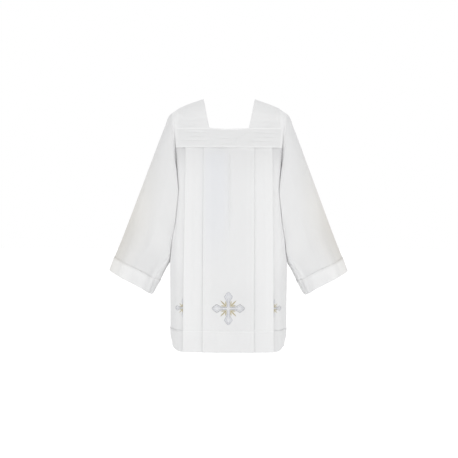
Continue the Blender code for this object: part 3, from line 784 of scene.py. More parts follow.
def shoulder_surface(side):
    """The piece over one shoulder, from the front band to the back one; side is 1 for the
    wearer's left."""
    wall = bpy.context.scene.surplice_cloth.plain_wall
    band = TorsoOutline(BAND_TOP_DROP)
    neck_y = float(np.interp(NECK_HALF_AT_BAND, band.x, band.y))
    edge = armhole(BAND_TOP_ANGLE)
    width = edge[0] - NECK_HALF_AT_BAND
    shares = spaced(0.0, 1.0, SHOULDER_COLUMNS)
    flat_x = NECK_HALF_AT_BAND + shares * width
    flat_y = neck_y + shares * (edge[1] - neck_y)
    crown = flat_y - np.interp(flat_x, band.x, band.y)
    shift = SHOULDER_SHIFT * side
    ways = np.linspace(-1, 1, 2 * SHOULDER_HALF_ROWS + 1)
    rows = []
    for way in ways:
        angle = -way * BAND_TOP_ANGLE
        turn = math.radians(90 * (1 - abs(way)))
        rise, out = math.sin(turn), math.cos(turn) * (1 if way <= 0 else -1)
        neck = np.array([
            NECK_HALF_AT_BAND + (NECK_HALF_AT_RIDGE - NECK_HALF_AT_BAND) * rise,
            neck_y * out,
            -BAND_TOP_DROP * (1 - rise),
        ])
        chord = neck + shares[:, None] * (armhole(angle) - neck)
        up = np.array([0.0, -out, rise])
        inset = fold_depth(SHOULDER_FOLDS, shares + shift, way)
        inset = inset + crease_depth(SHOULDER_CREASES, shares, way + shift)
        inset = inset * shown(SHOULDER_FOLDED, shares) * shown(SHOULDER_FOLDED_WAY, abs(way))
        inset = inset + SHOULDER_STITCH_DIMPLE * groove(shares * width - STITCH_INSET)
        row = chord + (crown * (1 - RIDGE_FLATTENING * rise) - inset)[:, None] * up
        rows.append(row + seam_tuck(np.full(len(shares), angle), (1 - shares) * width))
    rows = np.array(rows)
    rows[..., 0] *= side

    # Both ends run on behind the bands.
    top, bottom = TORSO_SECTIONS[:2]
    slope = (bottom.half_depth - top.half_depth) / (BAND_BOTTOM_DROP - BAND_TOP_DROP)
    tucks = []
    for k in range(SHOULDER_TUCK_ROWS, 0, -1):
        down = TUCK_UNDER_BAND * k / SHOULDER_TUCK_ROWS
        depth = SHOULDER_TUCK_DEPTH * min(1.0, k / (SHOULDER_TUCK_ROWS - 1))
        tucks.append(np.array([0.0, depth - slope * down, -down]))
    front = [rows[0] + tuck for tuck in tucks]
    back = [rows[-1] + tuck * [1, -1, 1] for tuck in tucks[::-1]]
    away = np.abs(np.pad(ways, SHOULDER_TUCK_ROWS, mode="edge"))[:, None]
    # Painted light all over and a painted highlight along the armhole, and painted shade beside the bands.
    painted_light = SHOULDER_PAINTED_LIGHT + shown(ARMHOLE_HIGHLIGHT, shares) * shown(BELOW_RIDGE, away)
    painted_shade = shown(BESIDE_BANDS_SHADE, away) * shown(BEFORE_ARMHOLE, shares)
    grid = np.concatenate([front, rows, back])
    return Surface(grid, wall, flip=side == 1, doubled=1.0, painted_light=painted_light, painted_shade=painted_shade)


# --- Pleated panels and hems ---------------------------------------------------------------------
TURN_POINTS = 7
MIDDLE_COLUMNS = 30
UNDER_COLUMNS = 5
STRIP_COLUMNS = 16
SIDE_COLUMNS = 34
SIDE_CROWDING = 0.12  # how much closer together the side's last columns lie than even ones
ARMHOLE_ROWS = 34
UNDERARM_ROWS_LEFT_OUT = 5  # of the close ones just below the underarm, where none are needed
SIDE_LEVEL_REACH = 0.028  # over which the cloth comes out level beside the outer pleat
SIDE_FADE = 0.03  # over which the folds end beside the side seam
HEM_LIFT_START = 0.85  # the drop from which the side's lower end rises
HEM_TUCK_START = 0.90  # and the one from which it turns in
HEM_WALL_SHARE = 0.8  # of the doubled cloth's thickness
EDGE_BLEND = 0.004  # over which looks change beyond a folded edge, or to each side of a layer's end

# How doubled the cloth looks on its folded stretches.
INNER_PLEAT_LOOK = 0.3
OUTER_PLEAT_LOOK = 1.0
STRIP_LOOK = 0.7
STRIP_LOOK_REACH = 0.07  # from the outer fold towards the middle

# How the panel falls in below the band, most of all beside the middle, and goes in behind the hem.
# Here and below, places count from the middle to the right, as seen from outside.
TUCK_SHARES = (1.0, 0.66, 0.33)  # its rows behind the band, as shares of the tuck
SLACK = 0.0007
MIDDLE_SLACK = 0.0024
MIDDLE_SLACK_PLACE = -0.030
MIDDLE_SLACK_HALF_WIDTH = 0.046
SLACK_BELOW_BAND = Stretch(end=0.001, go=0.018)
BEHIND_HEM = 0.0001
SIDE_BEHIND_HEM = 0.0010
BESIDE_PLEATS = Stretch(start=OUTER_FOLD_AT_HEM, come=0.006)
OVERLAP_ABOVE_HEM = Stretch(start=-0.006, come=0.006)

# Painted shade: one stretch of the panel beside the middle is cooler and a little darker than the rest, from
# the band to the waist.
COOL_SHADE_STRENGTH = 0.9
COOL_SHADE_PLACE = -0.050
COOL_SHADE_HALF_WIDTH = 0.046
COOL_SHADE_DROP = Stretch(start=0.18, come=0.06, end=0.42, go=0.30)

# Painted light: the panel is whiter where the sleeve shades it, in a narrow strip above the underarm and a
# wide one below, and just under the band, where the band's shadow falls.
SHADED_GAP_LIGHT = Stretch(start=0.23, come=0.05, end=0.50, go=0.09)
WIDE_GAP_LIGHT = Stretch(end=0.100, go=0.025)
NARROW_GAP_LIGHT = Stretch(end=0.006, go=0.008)
BELOW_UNDERARM = Stretch(start=UNDERARM_DROP, come=0.03)
UNDER_BAND_PAINTED_LIGHT = Stretch(0.42, end=0.198, go=0.012)

# Painted shade: it is darker below the band, most of all beyond the pleats, and a little near the hem.
UPPER_SIDE_SHADE = Stretch(0.95, end=0.19, go=0.12)
LOWER_SIDE_SHADE = Stretch(0.3, start=0.60, come=0.12)
BELOW_BAND_SHADE = Stretch(0.35, end=0.19, go=0.16)
LOW_FRONT_SHADE = Stretch(0.18, start=0.68, come=0.08)
LOW_FRONT_SHADE_PLACE = 0.05
LOW_FRONT_SHADE_HALF_WIDTH = 0.16

# How the hem's top edge stands out in front of the panel, with its stitches in a groove.
HEM_PROUD = 0.0003
HEM_SIDE_PROUD = 0.0005
HEM_PROUD_STRETCH = Stretch(end=0.004, go=0.012)
HEM_STITCH_DIMPLE = 0.0002
HEM_SIDE_DIMPLE = 0.0006

# How doubled the hem looks and how much painted shade it has, with other values beyond the pleats, and the
# painted highlight along its top.
HEM_LAYERS = 0.6
HEM_SIDE_LAYERS = 0.2
HEM_SIDE_SHADE = 0.45
HEM_SHADE = 0.22
HEM_SHADE_PLACE = 0.03
HEM_SHADE_HALF_WIDTH = 0.20
HEM_TOP_HIGHLIGHT = Stretch(0.25, end=0.002, go=0.004)


def fold_turn(edge, depth, facing, radius):
    """The round turn at a folded edge, as distances and depths; facing is 1 for an edge that
    faces the side seam, and -1 for one that faces the middle."""
    turn = np.linspace(-math.pi / 2, math.pi / 2, TURN_POINTS)
    middle = edge - facing * radius
    return middle + facing * radius * np.cos(turn), depth + radius + radius * np.sin(turn)


def knife_pleat(edge, pitch, underlap):
    """The two turns of a knife pleat and the cloth between them."""
    radius = pitch / 2
    inner = edge - underlap
    out_turn = fold_turn(edge, 0.0, 1, radius)
    under = np.linspace(edge - radius, inner + radius, UNDER_COLUMNS + 2)[1:-1]
    in_turn = fold_turn(inner, pitch, -1, radius)
    return (
        np.concatenate([out_turn[0], under, in_turn[0]]),
        np.concatenate([out_turn[1], np.full(UNDER_COLUMNS, pitch), in_turn[1]]),
    )


def pleated_path(drop, length):
    """The pleated cloth from the middle to the side, as distances along the outline, depths,
    and shares of the doubled look that three layers have."""
    pleats = bpy.context.scene.surplice_pleats
    pitch = float(table_value(PLEAT_PITCHES, "pitch", drop)) * pleats.looseness
    radius = pitch / 2
    underlap = pleats.underlap
    outer_fold = outer_fold_at(drop)

    def sunk(distance):
        """The strip comes out from two layers down to lie level with the middle's cloth."""
        return 2 * pitch * np.clip(1 - (distance - INNER_FOLD) / (outer_fold - INNER_FOLD), 0, 1)

    middle = np.linspace(0, INNER_FOLD - radius, MIDDLE_COLUMNS + 1)[:-1]
    inner_pleat, inner_depth = knife_pleat(INNER_FOLD, pitch, underlap)
    strip = np.linspace(INNER_FOLD - underlap + radius, outer_fold - radius, STRIP_COLUMNS + 2)[1:-1]
    outer_pleat, outer_depth = knife_pleat(outer_fold, pitch, underlap)
    under_side = np.linspace(outer_fold - underlap + radius, outer_fold, UNDER_COLUMNS + 1)[1:]
    shares = np.linspace(0, 1, SIDE_COLUMNS + 1)[1:]
    shares = shares + SIDE_CROWDING * np.sin(math.pi * shares) * shares
    side = outer_fold + shares * (length - outer_fold)
    side_depth = 2 * pitch * (1 - past(side, outer_fold, SIDE_LEVEL_REACH))
    distance = np.concatenate([middle, inner_pleat, strip, outer_pleat, under_side, side])
    depth = np.concatenate([
        np.zeros(MIDDLE_COLUMNS), inner_depth, sunk(strip), outer_depth + sunk(outer_pleat),
        2 * pitch + sunk(under_side), side_depth,
    ])
    doubled = np.zeros(len(distance))
    for edge, reach, look in (
            (INNER_FOLD, underlap, INNER_PLEAT_LOOK),
            (outer_fold, underlap, OUTER_PLEAT_LOOK),
            (outer_fold, STRIP_LOOK_REACH, STRIP_LOOK)):
        nearby = past(distance, edge - reach - EDGE_BLEND, 2 * EDGE_BLEND) * (distance <= edge + 1e-6)
        doubled = np.maximum(doubled, look * nearby)
    return distance, depth, doubled


def side_weight(from_side):
    """1 near the side seam, falling smoothly to 0 towards the panel's flat front."""
    return 1 - past(from_side, HEM_SIDE_FLAT, HEM_SIDE_REACH - HEM_SIDE_FLAT)


def pleated_rows(drops, facing, extra_inset):
    """Rows of a pleated piece from -X to +X, their distances from the middle, and their layers."""
    folds = FRONT_FOLDS if facing == 1 else BACK_FOLDS
    rows, places, layers = [], [], []
    for drop in drops:
        outline = TorsoOutline(drop)
        distance, depth, doubled = pleated_path(drop, outline.length)
        from_side = outline.length - distance
        weight = side_weight(from_side)
        lift = HEM_SIDE_LIFT * weight * past(drop, HEM_LIFT_START, HEM_DROP - HEM_LIFT_START)
        tuck = HEM_SIDE_TUCK * weight * past(drop, HEM_TUCK_START, HEM_DROP - HEM_TUCK_START) ** 2
        fade = past(from_side, 0, SIDE_FADE)

        def half_row(side):
            inset = fold_depth(folds, side * distance, drop) + extra_inset(drop, side * distance)
            x, y = outline.moved_in(distance, depth + inset * fade + tuck)
            if drop >= UNDERARM_DROP:
                y[-1] = 0.0
            half = np.stack([x, y, -drop + lift], axis=-1)
            if drop < UNDERARM_DROP:
                half += seam_tuck(np.full(len(x), armhole_angle(drop)), from_side)
            return half * [side, facing, 1]

        rows.append(joined_halves(half_row))
        places.append(np.concatenate([-distance[:0:-1], distance]))
        layers.append(mirrored(doubled))
    return np.array(rows), np.array(places), np.array(layers)


def panel_surface(facing):
    """The pleated front or back, from behind the band to the deep hem."""
    wall = bpy.context.scene.surplice_cloth.plain_wall
    tucked = BAND_BOTTOM_DROP - TUCK_UNDER_BAND * np.array(TUCK_SHARES)
    beside_armholes = -armhole(np.linspace(BAND_BOTTOM_ANGLE, 180, ARMHOLE_ROWS))[:, 2]
    below = spaced(UNDERARM_DROP, HEM_SEAM_DROP, PANEL_ROWS)[UNDERARM_ROWS_LEFT_OUT:]
    drops = np.concatenate([tucked, beside_armholes, below])

    def extra_inset(drop, place):
        slack = SLACK + MIDDLE_SLACK * hump(facing * place - MIDDLE_SLACK_PLACE, MIDDLE_SLACK_HALF_WIDTH)
        below_band = slack * shown(SLACK_BELOW_BAND, drop - BAND_BOTTOM_DROP)
        behind_hem = BEHIND_HEM + SIDE_BEHIND_HEM * shown(BESIDE_PLEATS, np.abs(place))
        return below_band + behind_hem * shown(OVERLAP_ABOVE_HEM, drop - HEM_SEAM_DROP)

    rows, places, layers = pleated_rows(drops, facing, extra_inset)
    down = drops[:, None]
    from_side = np.abs(places[:, -1:]) - np.abs(places)
    beyond_pleats = past(np.abs(places), outer_fold_at(down), EDGE_BLEND)
    below_underarm = shown(BELOW_UNDERARM, down)

    # Painted cool shade beside the middle.
    cool_shade = np.exp(-(((facing * places - COOL_SHADE_PLACE) / COOL_SHADE_HALF_WIDTH) ** 4)) * shown(COOL_SHADE_DROP, down)
    # Painted light where the sleeve and the band shade the panel.
    gap_light = shown(WIDE_GAP_LIGHT, from_side) * below_underarm
    gap_light = gap_light + shown(NARROW_GAP_LIGHT, from_side) * (1 - below_underarm)
    painted_light = gap_light * shown(SHADED_GAP_LIGHT, down) + shown(UNDER_BAND_PAINTED_LIGHT, down)
    # Painted shade beyond the pleats, below the band and near the hem.
    painted_shade = beyond_pleats * (shown(UPPER_SIDE_SHADE, down) + shown(LOWER_SIDE_SHADE, down))
    painted_shade = np.maximum(painted_shade, shown(BELOW_BAND_SHADE, down))
    painted_shade = painted_shade + bell(facing * places - LOW_FRONT_SHADE_PLACE, LOW_FRONT_SHADE_HALF_WIDTH) * shown(LOW_FRONT_SHADE, down)
    surface = Surface(
        rows, wall, flip=facing == -1, doubled=layers, painted_light_tint=-COOL_SHADE_STRENGTH * cool_shade, painted_light=painted_light, painted_shade=painted_shade)
    surface.places, surface.drops = places, drops
    return surface


def hem_surface(facing):
    """The deep hem below a panel, pleated with it."""
    wall = bpy.context.scene.surplice_cloth.doubled_wall * HEM_WALL_SHARE
    drops = spaced(HEM_SEAM_DROP, HEM_DROP, HEM_ROWS)

    def extra_inset(drop, place):
        from_top = drop - HEM_SEAM_DROP
        at_side = shown(BESIDE_PLEATS, np.abs(place))
        proud = (HEM_PROUD + HEM_SIDE_PROUD * at_side) * shown(HEM_PROUD_STRETCH, from_top)
        return (HEM_STITCH_DIMPLE + HEM_SIDE_DIMPLE * at_side) * groove(from_top - STITCH_INSET) - proud

    rows, places, _ = pleated_rows(drops, facing, extra_inset)
    beyond_pleats = past(np.abs(places), OUTER_FOLD_AT_HEM, EDGE_BLEND)
    doubled = HEM_LAYERS - (HEM_LAYERS - HEM_SIDE_LAYERS) * beyond_pleats
    # Painted shade beyond the pleats and across the middle, and a painted highlight along the top.
    hem_low_shade = HEM_SHADE * bell(facing * places - HEM_SHADE_PLACE, HEM_SHADE_HALF_WIDTH)
    painted_light = (1 - beyond_pleats) * shown(HEM_TOP_HIGHLIGHT, drops[:, None] - HEM_SEAM_DROP)
    return Surface(
        rows, wall, flip=facing == -1, doubled=doubled, painted_light=painted_light,
        painted_shade=HEM_SIDE_SHADE * beyond_pleats + hem_low_shade)


# --- Sleeves and cuffs ---------------------------------------------------------------------------
SLEEVE_COLUMNS = 132
TURN_SAMPLES = 7201
LEAN_POWER = 1.6  # how sharply a ring's lean grows towards its front and back
BODY_SIDE_DROPS = np.linspace(0.24, 0.68, 23)
BODY_SIDE_DEPTHS = np.linspace(-0.15, 0.15, 61)
INNER_SQUARING = Stretch(INNER_SQUARENESS, start=0.22, come=0.10)  # by the drop of a ring's middle

# Where a sleeve's inner side is moved up to the body: by the turn from its outer edge, by the
# place along it and by the drop.
LYING_LIMITS = (-0.010, 0.032)  # how far it may be moved out and in
LYING_TURN = Stretch(start=94, come=20)
LYING_PLACE = Stretch(start=0.002, come=0.020)
LYING_DROP = Stretch(start=0.200, come=0.050, end=0.588, go=0.055)
LYING_SPREAD = 0.4  # how much further apart the layers lie at the spread's reach from the middle
LYING_SPREAD_REACH = 0.12

# Painted warm reflected light: a sleeve's outer edge is warmer towards the cuff.
WARM_LIGHT_ANGLE = 8
WARM_LIGHT_HALF_WIDTH = 95
WARM_LIGHT_WAY = Stretch(start=0.10, come=0.7)
CUFF_WARM_LIGHT = 0.5
CUFF_BLEND = Stretch(start=1.0, come=0.02)  # where its looks change into the cuff's

# Painted light: it is whiter where it lies in the shade beside the body, less so below the elbow, and along
# the armhole.
FACES_BODY = Stretch(start=108, come=18)
SLEEVE_GAP_LIGHT = Stretch(start=0.23, come=0.05, end=0.68, go=0.06)
BELOW_ELBOW = Stretch(0.6, start=0.58, come=0.08)
SEAM_PAINTED_LIGHT = Stretch(0.30, end=0.006, go=0.004)
SEAM_PAINTED_LIGHT_DROP = Stretch(end=0.16, go=0.04)

# Painted shade: it is darker on its lower front and in the folds above the cuff, and the cuff on its inner
# side.
FRONT_SHADE = Stretch(0.6, start=0.55, come=0.3)
FRONT_SHADE_ANGLE = 50
FRONT_SHADE_LEAN = -26
FRONT_SHADE_HALF_WIDTH = 70
FOLDS_SHADE = {  # on the left, and on the right
    1: Stretch(0.28, start=0.70, come=0.18),
    -1: Stretch(0.42, start=0.70, come=0.18),
}
FOLDS_SHADE_TURN = 100
FOLDS_SHADE_HALF_WIDTH = 52
CUFF_SHADE = 0.6
CUFF_SHADE_TURN = 135
CUFF_SHADE_HALF_WIDTH = 60

# The depths of its stitches' groove and of its end behind the cuff, and how doubled its seam looks.
SLEEVE_STITCH_DIMPLE = 0.0005
SLEEVE_END = Stretch(0.0008, start=-0.006, come=0.006)
SLEEVE_SEAM = Stretch(end=0.007, go=0.004)

# How far the cuff's upper edge stands out and its end turns in.
CUFF_PROUD = Stretch(0.0007, end=0.004, go=0.02)
CUFF_STITCH_DIMPLE = 0.0006
CUFF_END_TURN = Stretch(0.0004, start=0.002, come=0.006)


def even_angles(count):
    """Angles round a sleeve that lie about as far apart along its squarish outline."""
    degrees = np.linspace(0, 360, TURN_SAMPLES)
    turn = np.radians(degrees)
    power = 2 / SLEEVE_RINGS[5].squareness
    x, y = signed_power(np.cos(turn), power), signed_power(np.sin(turn), power)
    along = running_length(np.hypot(np.diff(x), np.diff(y)))
    return turn_between(np.interp(np.arange(count) / count * along[-1], along, degrees), 0)


def sleeve_ring(ring, angles):
    """The points of one ring on the +X side."""
    turn = np.radians(angles)
    outer = np.array([ring.outer_x, 0.0, -ring.outer_drop])
    inner = np.array([ring.inner_x, 0.0, -ring.inner_drop])
    middle, half = (outer + inner) / 2, (outer - inner) / 2
    power = 2 / (ring.squareness + shown(INNER_SQUARING, -middle[2]) * (np.cos(turn) < 0))
    across, forward = signed_power(np.cos(turn), power), signed_power(np.sin(turn), power)
    points = middle + half * across[:, None]
    points[:, 1] -= ring.half_depth * forward
    points[:, 0] -= ring.lean * np.abs(np.sin(turn)) ** LEAN_POWER
    for fold in SLEEVE_FOLDS:
        depth = fold.depth * past(-middle[2], fold.start_drop, fold.full_drop - fold.start_drop)
        depth = depth * bell(turn_between(angles, fold.angle), fold.half_width)
        points += unit(middle - points) * depth[:, None]
    return points


def body_side_table(side):
    """How far out the panels' side lies, by drop and by distance from the middle plane."""
    table = []
    for drop in BODY_SIDE_DROPS:
        found = []
        for facing in (1, -1):
            rows, places, _ = pleated_rows([drop], facing, lambda drop, place: 0.0)
            beyond_pleats = side * places[0] > OUTER_FOLD_AT_HEM + EDGE_BLEND
            points = rows[0][beyond_pleats]
            found.append(points[np.argsort(points[:, 1])])
        points = np.concatenate(found)
        table.append(np.interp(BODY_SIDE_DEPTHS, points[:, 1], side * points[:, 0]))
    return np.array(table)


def steps_along(values, at):
    """Which step of evenly spaced values each place lies in, and its share of the step."""
    place = (np.clip(at, values[0], values[-1]) - values[0]) / (values[1] - values[0])
    index = np.minimum(place.astype(int), len(values) - 2)
    return index, place - index


def body_side(table, y, drop):
    """How far out the body's side lies at distances from the middle plane and drops."""
    i, s = steps_along(BODY_SIDE_DROPS, drop)
    j, t = steps_along(BODY_SIDE_DEPTHS, y)
    near = table[i, j] * (1 - t) + table[i, j + 1] * t
    far = table[i + 1, j] * (1 - t) + table[i + 1, j + 1] * t
    return near * (1 - s) + far * s


def laid_against_body(grid, angles, places, side):
    """The sleeve's points on the +X side, with its inner side moved up to the body's."""
    table = body_side_table(side)
    y, drop = grid[..., 1], -grid[..., 2]
    limit = np.maximum(body_side(table, y, drop), body_side(table, 0 * y, drop) - BODY_WRAP)
    limit = limit + LYING_DISTANCE * (1 + LYING_SPREAD * (y / LYING_SPREAD_REACH) ** 2)
    weight = shown(LYING_TURN, np.abs(angles)) * shown(LYING_PLACE, places) * shown(LYING_DROP, drop)
    moved = grid.copy()
    moved[..., 0] -= np.clip(grid[..., 0] - limit, *LYING_LIMITS) * weight
    return moved


def sleeve_keys():
    """The sleeve's rings from the armhole to the cuff's end, with their places along it."""
    angles = even_angles(SLEEVE_COLUMNS)
    rings = np.array([armhole(angles)] + [sleeve_ring(ring, angles) for ring in [*SLEEVE_RINGS, CUFF_END]])
    middles = rings.mean(axis=1)
    return angles, rings, running_length(np.linalg.norm(np.diff(middles, axis=0), axis=1))


def tube_surface(side, places, wall, doubled, inset_at):
    """Part of a sleeve between two places along it; side is 1 for the wearer's left."""
    angles, rings, along = sleeve_keys()
    grid = smooth_through(along, rings, places)
    down = places[:, None]
    shares = down / along[-2]
    angle = angles[None, :]
    inset = fold_depth(SLEEVE_DRAPE[side], angle, shares, ring=True) + inset_at(places)[:, None]
    surface = Surface(grid, wall, ring=True, flip=True)
    moved = laid_against_body(grid - surface.normals * inset[..., None], angle, down, side)
    moved += seam_tuck(np.broadcast_to(angle, inset.shape), down)
    moved[..., 0] *= side
    drop = -moved[..., 2]
    turn = np.abs(angle)
    on_cuff = shown(CUFF_BLEND, shares)

    # Painted warm reflected light on the outer edge, less of it on the cuff.
    painted_light_tint = bell(angle - WARM_LIGHT_ANGLE, WARM_LIGHT_HALF_WIDTH) * shown(WARM_LIGHT_WAY, shares)
    painted_light_tint = painted_light_tint * (1 - (1 - CUFF_WARM_LIGHT) * on_cuff)
    # Painted light in the shade beside the body and along the armhole.
    painted_light = shown(FACES_BODY, turn) * shown(SLEEVE_GAP_LIGHT, drop) * (1 - shown(BELOW_ELBOW, drop))
    painted_light = np.maximum(painted_light, shown(SEAM_PAINTED_LIGHT, down) * shown(SEAM_PAINTED_LIGHT_DROP, drop))
    # Painted shade on the lower front, in the folds above the cuff and on the cuff's inner side.
    from_front_shade = angle - FRONT_SHADE_ANGLE - FRONT_SHADE_LEAN * shares
    painted_shade = bell(from_front_shade, FRONT_SHADE_HALF_WIDTH) * shown(FRONT_SHADE, shares)
    in_folds = bell(turn - FOLDS_SHADE_TURN, FOLDS_SHADE_HALF_WIDTH) * shown(FOLDS_SHADE[side], shares)
    cuff_shade = CUFF_SHADE * bell(turn - CUFF_SHADE_TURN, CUFF_SHADE_HALF_WIDTH)
    painted_shade = (painted_shade + in_folds) * (1 - on_cuff) + cuff_shade * on_cuff
    return Surface(
        moved, wall, ring=True, flip=side == 1, doubled=doubled, painted_light_tint=painted_light_tint, painted_light=painted_light, painted_shade=painted_shade)


def sleeve_surface(side):
    """A wide sleeve, from the armhole to the cuff."""
    _, _, along = sleeve_keys()
    places = spaced(0.0, along[-2], SLEEVE_ROWS)

    def inset_at(places):
        return SLEEVE_STITCH_DIMPLE * groove(places - STITCH_INSET) + shown(SLEEVE_END, places - along[-2])

    seam = shown(SLEEVE_SEAM, places)[:, None]
    return tube_surface(side, places, bpy.context.scene.surplice_cloth.plain_wall, seam, inset_at)


def cuff_surface(side):
    """The deep turned-up cuff."""
    _, _, along = sleeve_keys()
    places = spaced(along[-2], along[-1], HEM_ROWS)

    def inset_at(places):
        from_top, from_end = places - along[-2], along[-1] - places
        dimple = CUFF_STITCH_DIMPLE * groove(from_top - STITCH_INSET)
        return dimple - shown(CUFF_PROUD, from_top) - shown(CUFF_END_TURN, from_end)

    return tube_surface(side, places, bpy.context.scene.surplice_cloth.doubled_wall, 1.0, inset_at)


# --- Materials -----------------------------------------------------------------------------------
WHITE = (1.0, 1.0, 1.0, 1.0)
# Painted light and painted shade, mixed into the cloth's colour.
PAINTED_LIGHT_COLOUR = (0.98, 0.98, 0.983)
PAINTED_SHADE_COLOUR = (0.69, 0.69, 0.695)
STREAK_COLOUR = (0.975, 0.975, 0.97)
# Tints of painted cool shade and painted warm light.
COOL_SHADE_TINT = (0.968, 0.978, 1.0, 1.0)
WARM_LIGHT_TINT = (1.0, 0.975, 0.925, 1.0)
SLUB_LENGTH_SCALE = 28.0  # how many slubs a metre along the thread
SLUB_WIDTH_SCALE = 620.0  # and across it
WARP_SLUBS = 0.6  # how strong the warp's slubs are beside the weft's
WEAVE_HEIGHT = 0.35  # and how high the weave is beside the slubs
WEAVE_BUMP = (0.35, 0.00014)  # strength and depth
RUMPLE_NOISE = (16.0, 3.0, 0.45)  # scale, detail and roughness
RUMPLE_BUMP = (0.5, 0.0016)
CLOUD_SCALE = 5.0
SLUB_TONE = 0.4  # of the cloth's uneven tone, the rest of which is clouds
CLOTH_ROUGHNESS = 0.74
SLUB_ROUGHNESS = 0.06  # what the slubs add to it
TWIST_SCALE = 700.0  # of the thread
TWIST_BUMP = (0.3, 0.0001)
# Painted shade: the bands and the sleeves are darker copies of the same white cloth.
BAND_SHADED_BRIGHTNESS = 0.965
SLEEVE_SHADED_BRIGHTNESS = 0.975


class NodeMaker:
    """Short ways to add and join the nodes of one tree."""

    NODES_PER_ROW = 8
    SPACE = (220, -240)

    def __init__(self, tree):
        self.tree = tree

    def add(self, kind, inputs=None, **settings):
        """Adds a node with its settings, and gives it its inputs by name or number."""
        row, column = divmod(len(self.tree.nodes), self.NODES_PER_ROW)
        node = self.tree.nodes.new(kind)
        node.location = (self.SPACE[0] * column, self.SPACE[1] * row)
        for name, value in settings.items():
            setattr(node, name, value)
        self.feed(node, inputs or {})
        return node

    def feed(self, node, inputs):
        """Sets a node's inputs, and joins those whose value is another node's output."""
        for name, value in inputs.items():
            if isinstance(value, bpy.types.NodeSocket):
                self.tree.links.new(value, node.inputs[name])
            else:
                node.inputs[name].default_value = value

    def maths(self, operation, *values):
        return self.add("ShaderNodeMath", dict(enumerate(values)), operation=operation).outputs[0]

    def noise(self, place, scale, detail=2.0, roughness=0.5, **settings):
        inputs = {"Vector": place, "Scale": scale, "Detail": detail, "Roughness": roughness}
        return self.add("ShaderNodeTexNoise", inputs, **settings).outputs["Fac"]

    def bump(self, height, strength, distance, **inputs):
        inputs = {"Height": height, "Strength": strength, "Distance": distance, **inputs}
        return self.add("ShaderNodeBump", inputs).outputs["Normal"]

    def mixed(self, factor, first, second, blend="MIX"):
        """Mixes two colours, each three numbers or a socket, by a number or a socket."""
        node = self.add("ShaderNodeMix", data_type="RGBA", blend_type=blend)
        ends = [(*colour, 1.0) if isinstance(colour, tuple) else colour for colour in (first, second)]
        numbers = [number for number, socket in enumerate(node.inputs) if socket.type == "RGBA"]
        self.feed(node, {"Factor": factor, **dict(zip(numbers, ends))})
        return next(socket for socket in node.outputs if socket.type == "RGBA")


def new_material(name):
    material = bpy.data.materials.new(name)
    material.use_nodes = True
    return material, NodeMaker(material.node_tree), material.node_tree.nodes["Principled BSDF"]


def cloth_colour(make, place, slubs, brightness):
    """White, a little whiter where several layers lie together, with faint streaks, painted light, painted
    shade and painted tints.
    """
    cloth = bpy.context.scene.surplice_cloth
    look = {name: make.add("ShaderNodeAttribute", attribute_name=name).outputs["Fac"] for name in LOOKS}
    single, several = (
        tuple(channel * brightness for channel in colour)
        for colour in (cloth.plain_colour, cloth.doubled_colour))
    base = make.mixed(look["doubled"], single, several)
    # Painted light: whiter where shade falls between sleeve and body and under the band, in place of light
    # through the thin cloth, with painted highlights along edges and seams.
    base = make.mixed(look["painted_light"], base, PAINTED_LIGHT_COLOUR)
    # Painted shade: a little darker behind the pleats, beside the bands, in folds and near the hems.
    base = make.mixed(look["painted_shade"], base, PAINTED_SHADE_COLOUR)
    clouds = make.maths("MULTIPLY", make.noise(place, CLOUD_SCALE), 1 - SLUB_TONE)
    streaks = make.maths("ADD", make.maths("MULTIPLY", slubs, SLUB_TONE), clouds)
    shade = make.mixed(streaks, STREAK_COLOUR, WHITE[:3])
    # Painted tint: cooler where shade is painted, warmer where warm light is painted.
    tint = make.add("ShaderNodeValToRGB", {"Fac": make.maths("MULTIPLY_ADD", look["painted_light_tint"], 0.5, 0.5)})
    stops = tint.color_ramp.elements
    stops[0].color = COOL_SHADE_TINT
    stops[1].color = WARM_LIGHT_TINT
    stops.new(0.5).color = WHITE
    shaded = make.mixed(1.0, base, shade, "MULTIPLY")
    return make.mixed(1.0, shaded, tint.outputs["Color"], "MULTIPLY")


def cloth_material(name, brightness=1.0):
    """Fine white plain weave, softly rumpled."""
    material, make, shader = new_material(name)
    uv = make.add("ShaderNodeUVMap", uv_map="cloth").outputs["UV"]
    place = make.add("ShaderNodeTexCoord").outputs["Object"]
    ways = make.add("ShaderNodeSeparateXYZ", {0: uv}).outputs
    turns = math.tau / bpy.context.scene.surplice_cloth.thread_spacing
    warp, weft = (make.maths("SINE", make.maths("MULTIPLY", ways[way], turns)) for way in "XY")
    weave = make.maths("MULTIPLY", warp, weft)

    def slubs(across, down):
        """Thicker stretches along the threads that run one way."""
        mapping = make.add("ShaderNodeMapping", {"Vector": uv, "Scale": (across, down, 1.0)})
        return make.noise(mapping.outputs["Vector"], 1.0, noise_dimensions="2D")

    weft_slubs = slubs(SLUB_LENGTH_SCALE, SLUB_WIDTH_SCALE)
    warp_slubs = slubs(SLUB_WIDTH_SCALE, SLUB_LENGTH_SCALE)
    uneven = make.maths("ADD", weft_slubs, make.maths("MULTIPLY", warp_slubs, WARP_SLUBS))
    height = make.maths("ADD", make.maths("MULTIPLY", weave, WEAVE_HEIGHT), uneven)
    rumpled = make.bump(make.noise(place, *RUMPLE_NOISE), *RUMPLE_BUMP)
    make.feed(shader, {
        "Base Color": cloth_colour(make, place, weft_slubs, brightness),
        "Normal": make.bump(height, *WEAVE_BUMP, Normal=rumpled),
        "Roughness": make.maths("ADD", make.maths("MULTIPLY", uneven, SLUB_ROUGHNESS), CLOTH_ROUGHNESS),
        "Specular IOR Level": 0.25,
        "Sheen Weight": 0.06,
        "Sheen Roughness": 0.45,
    })
    return material


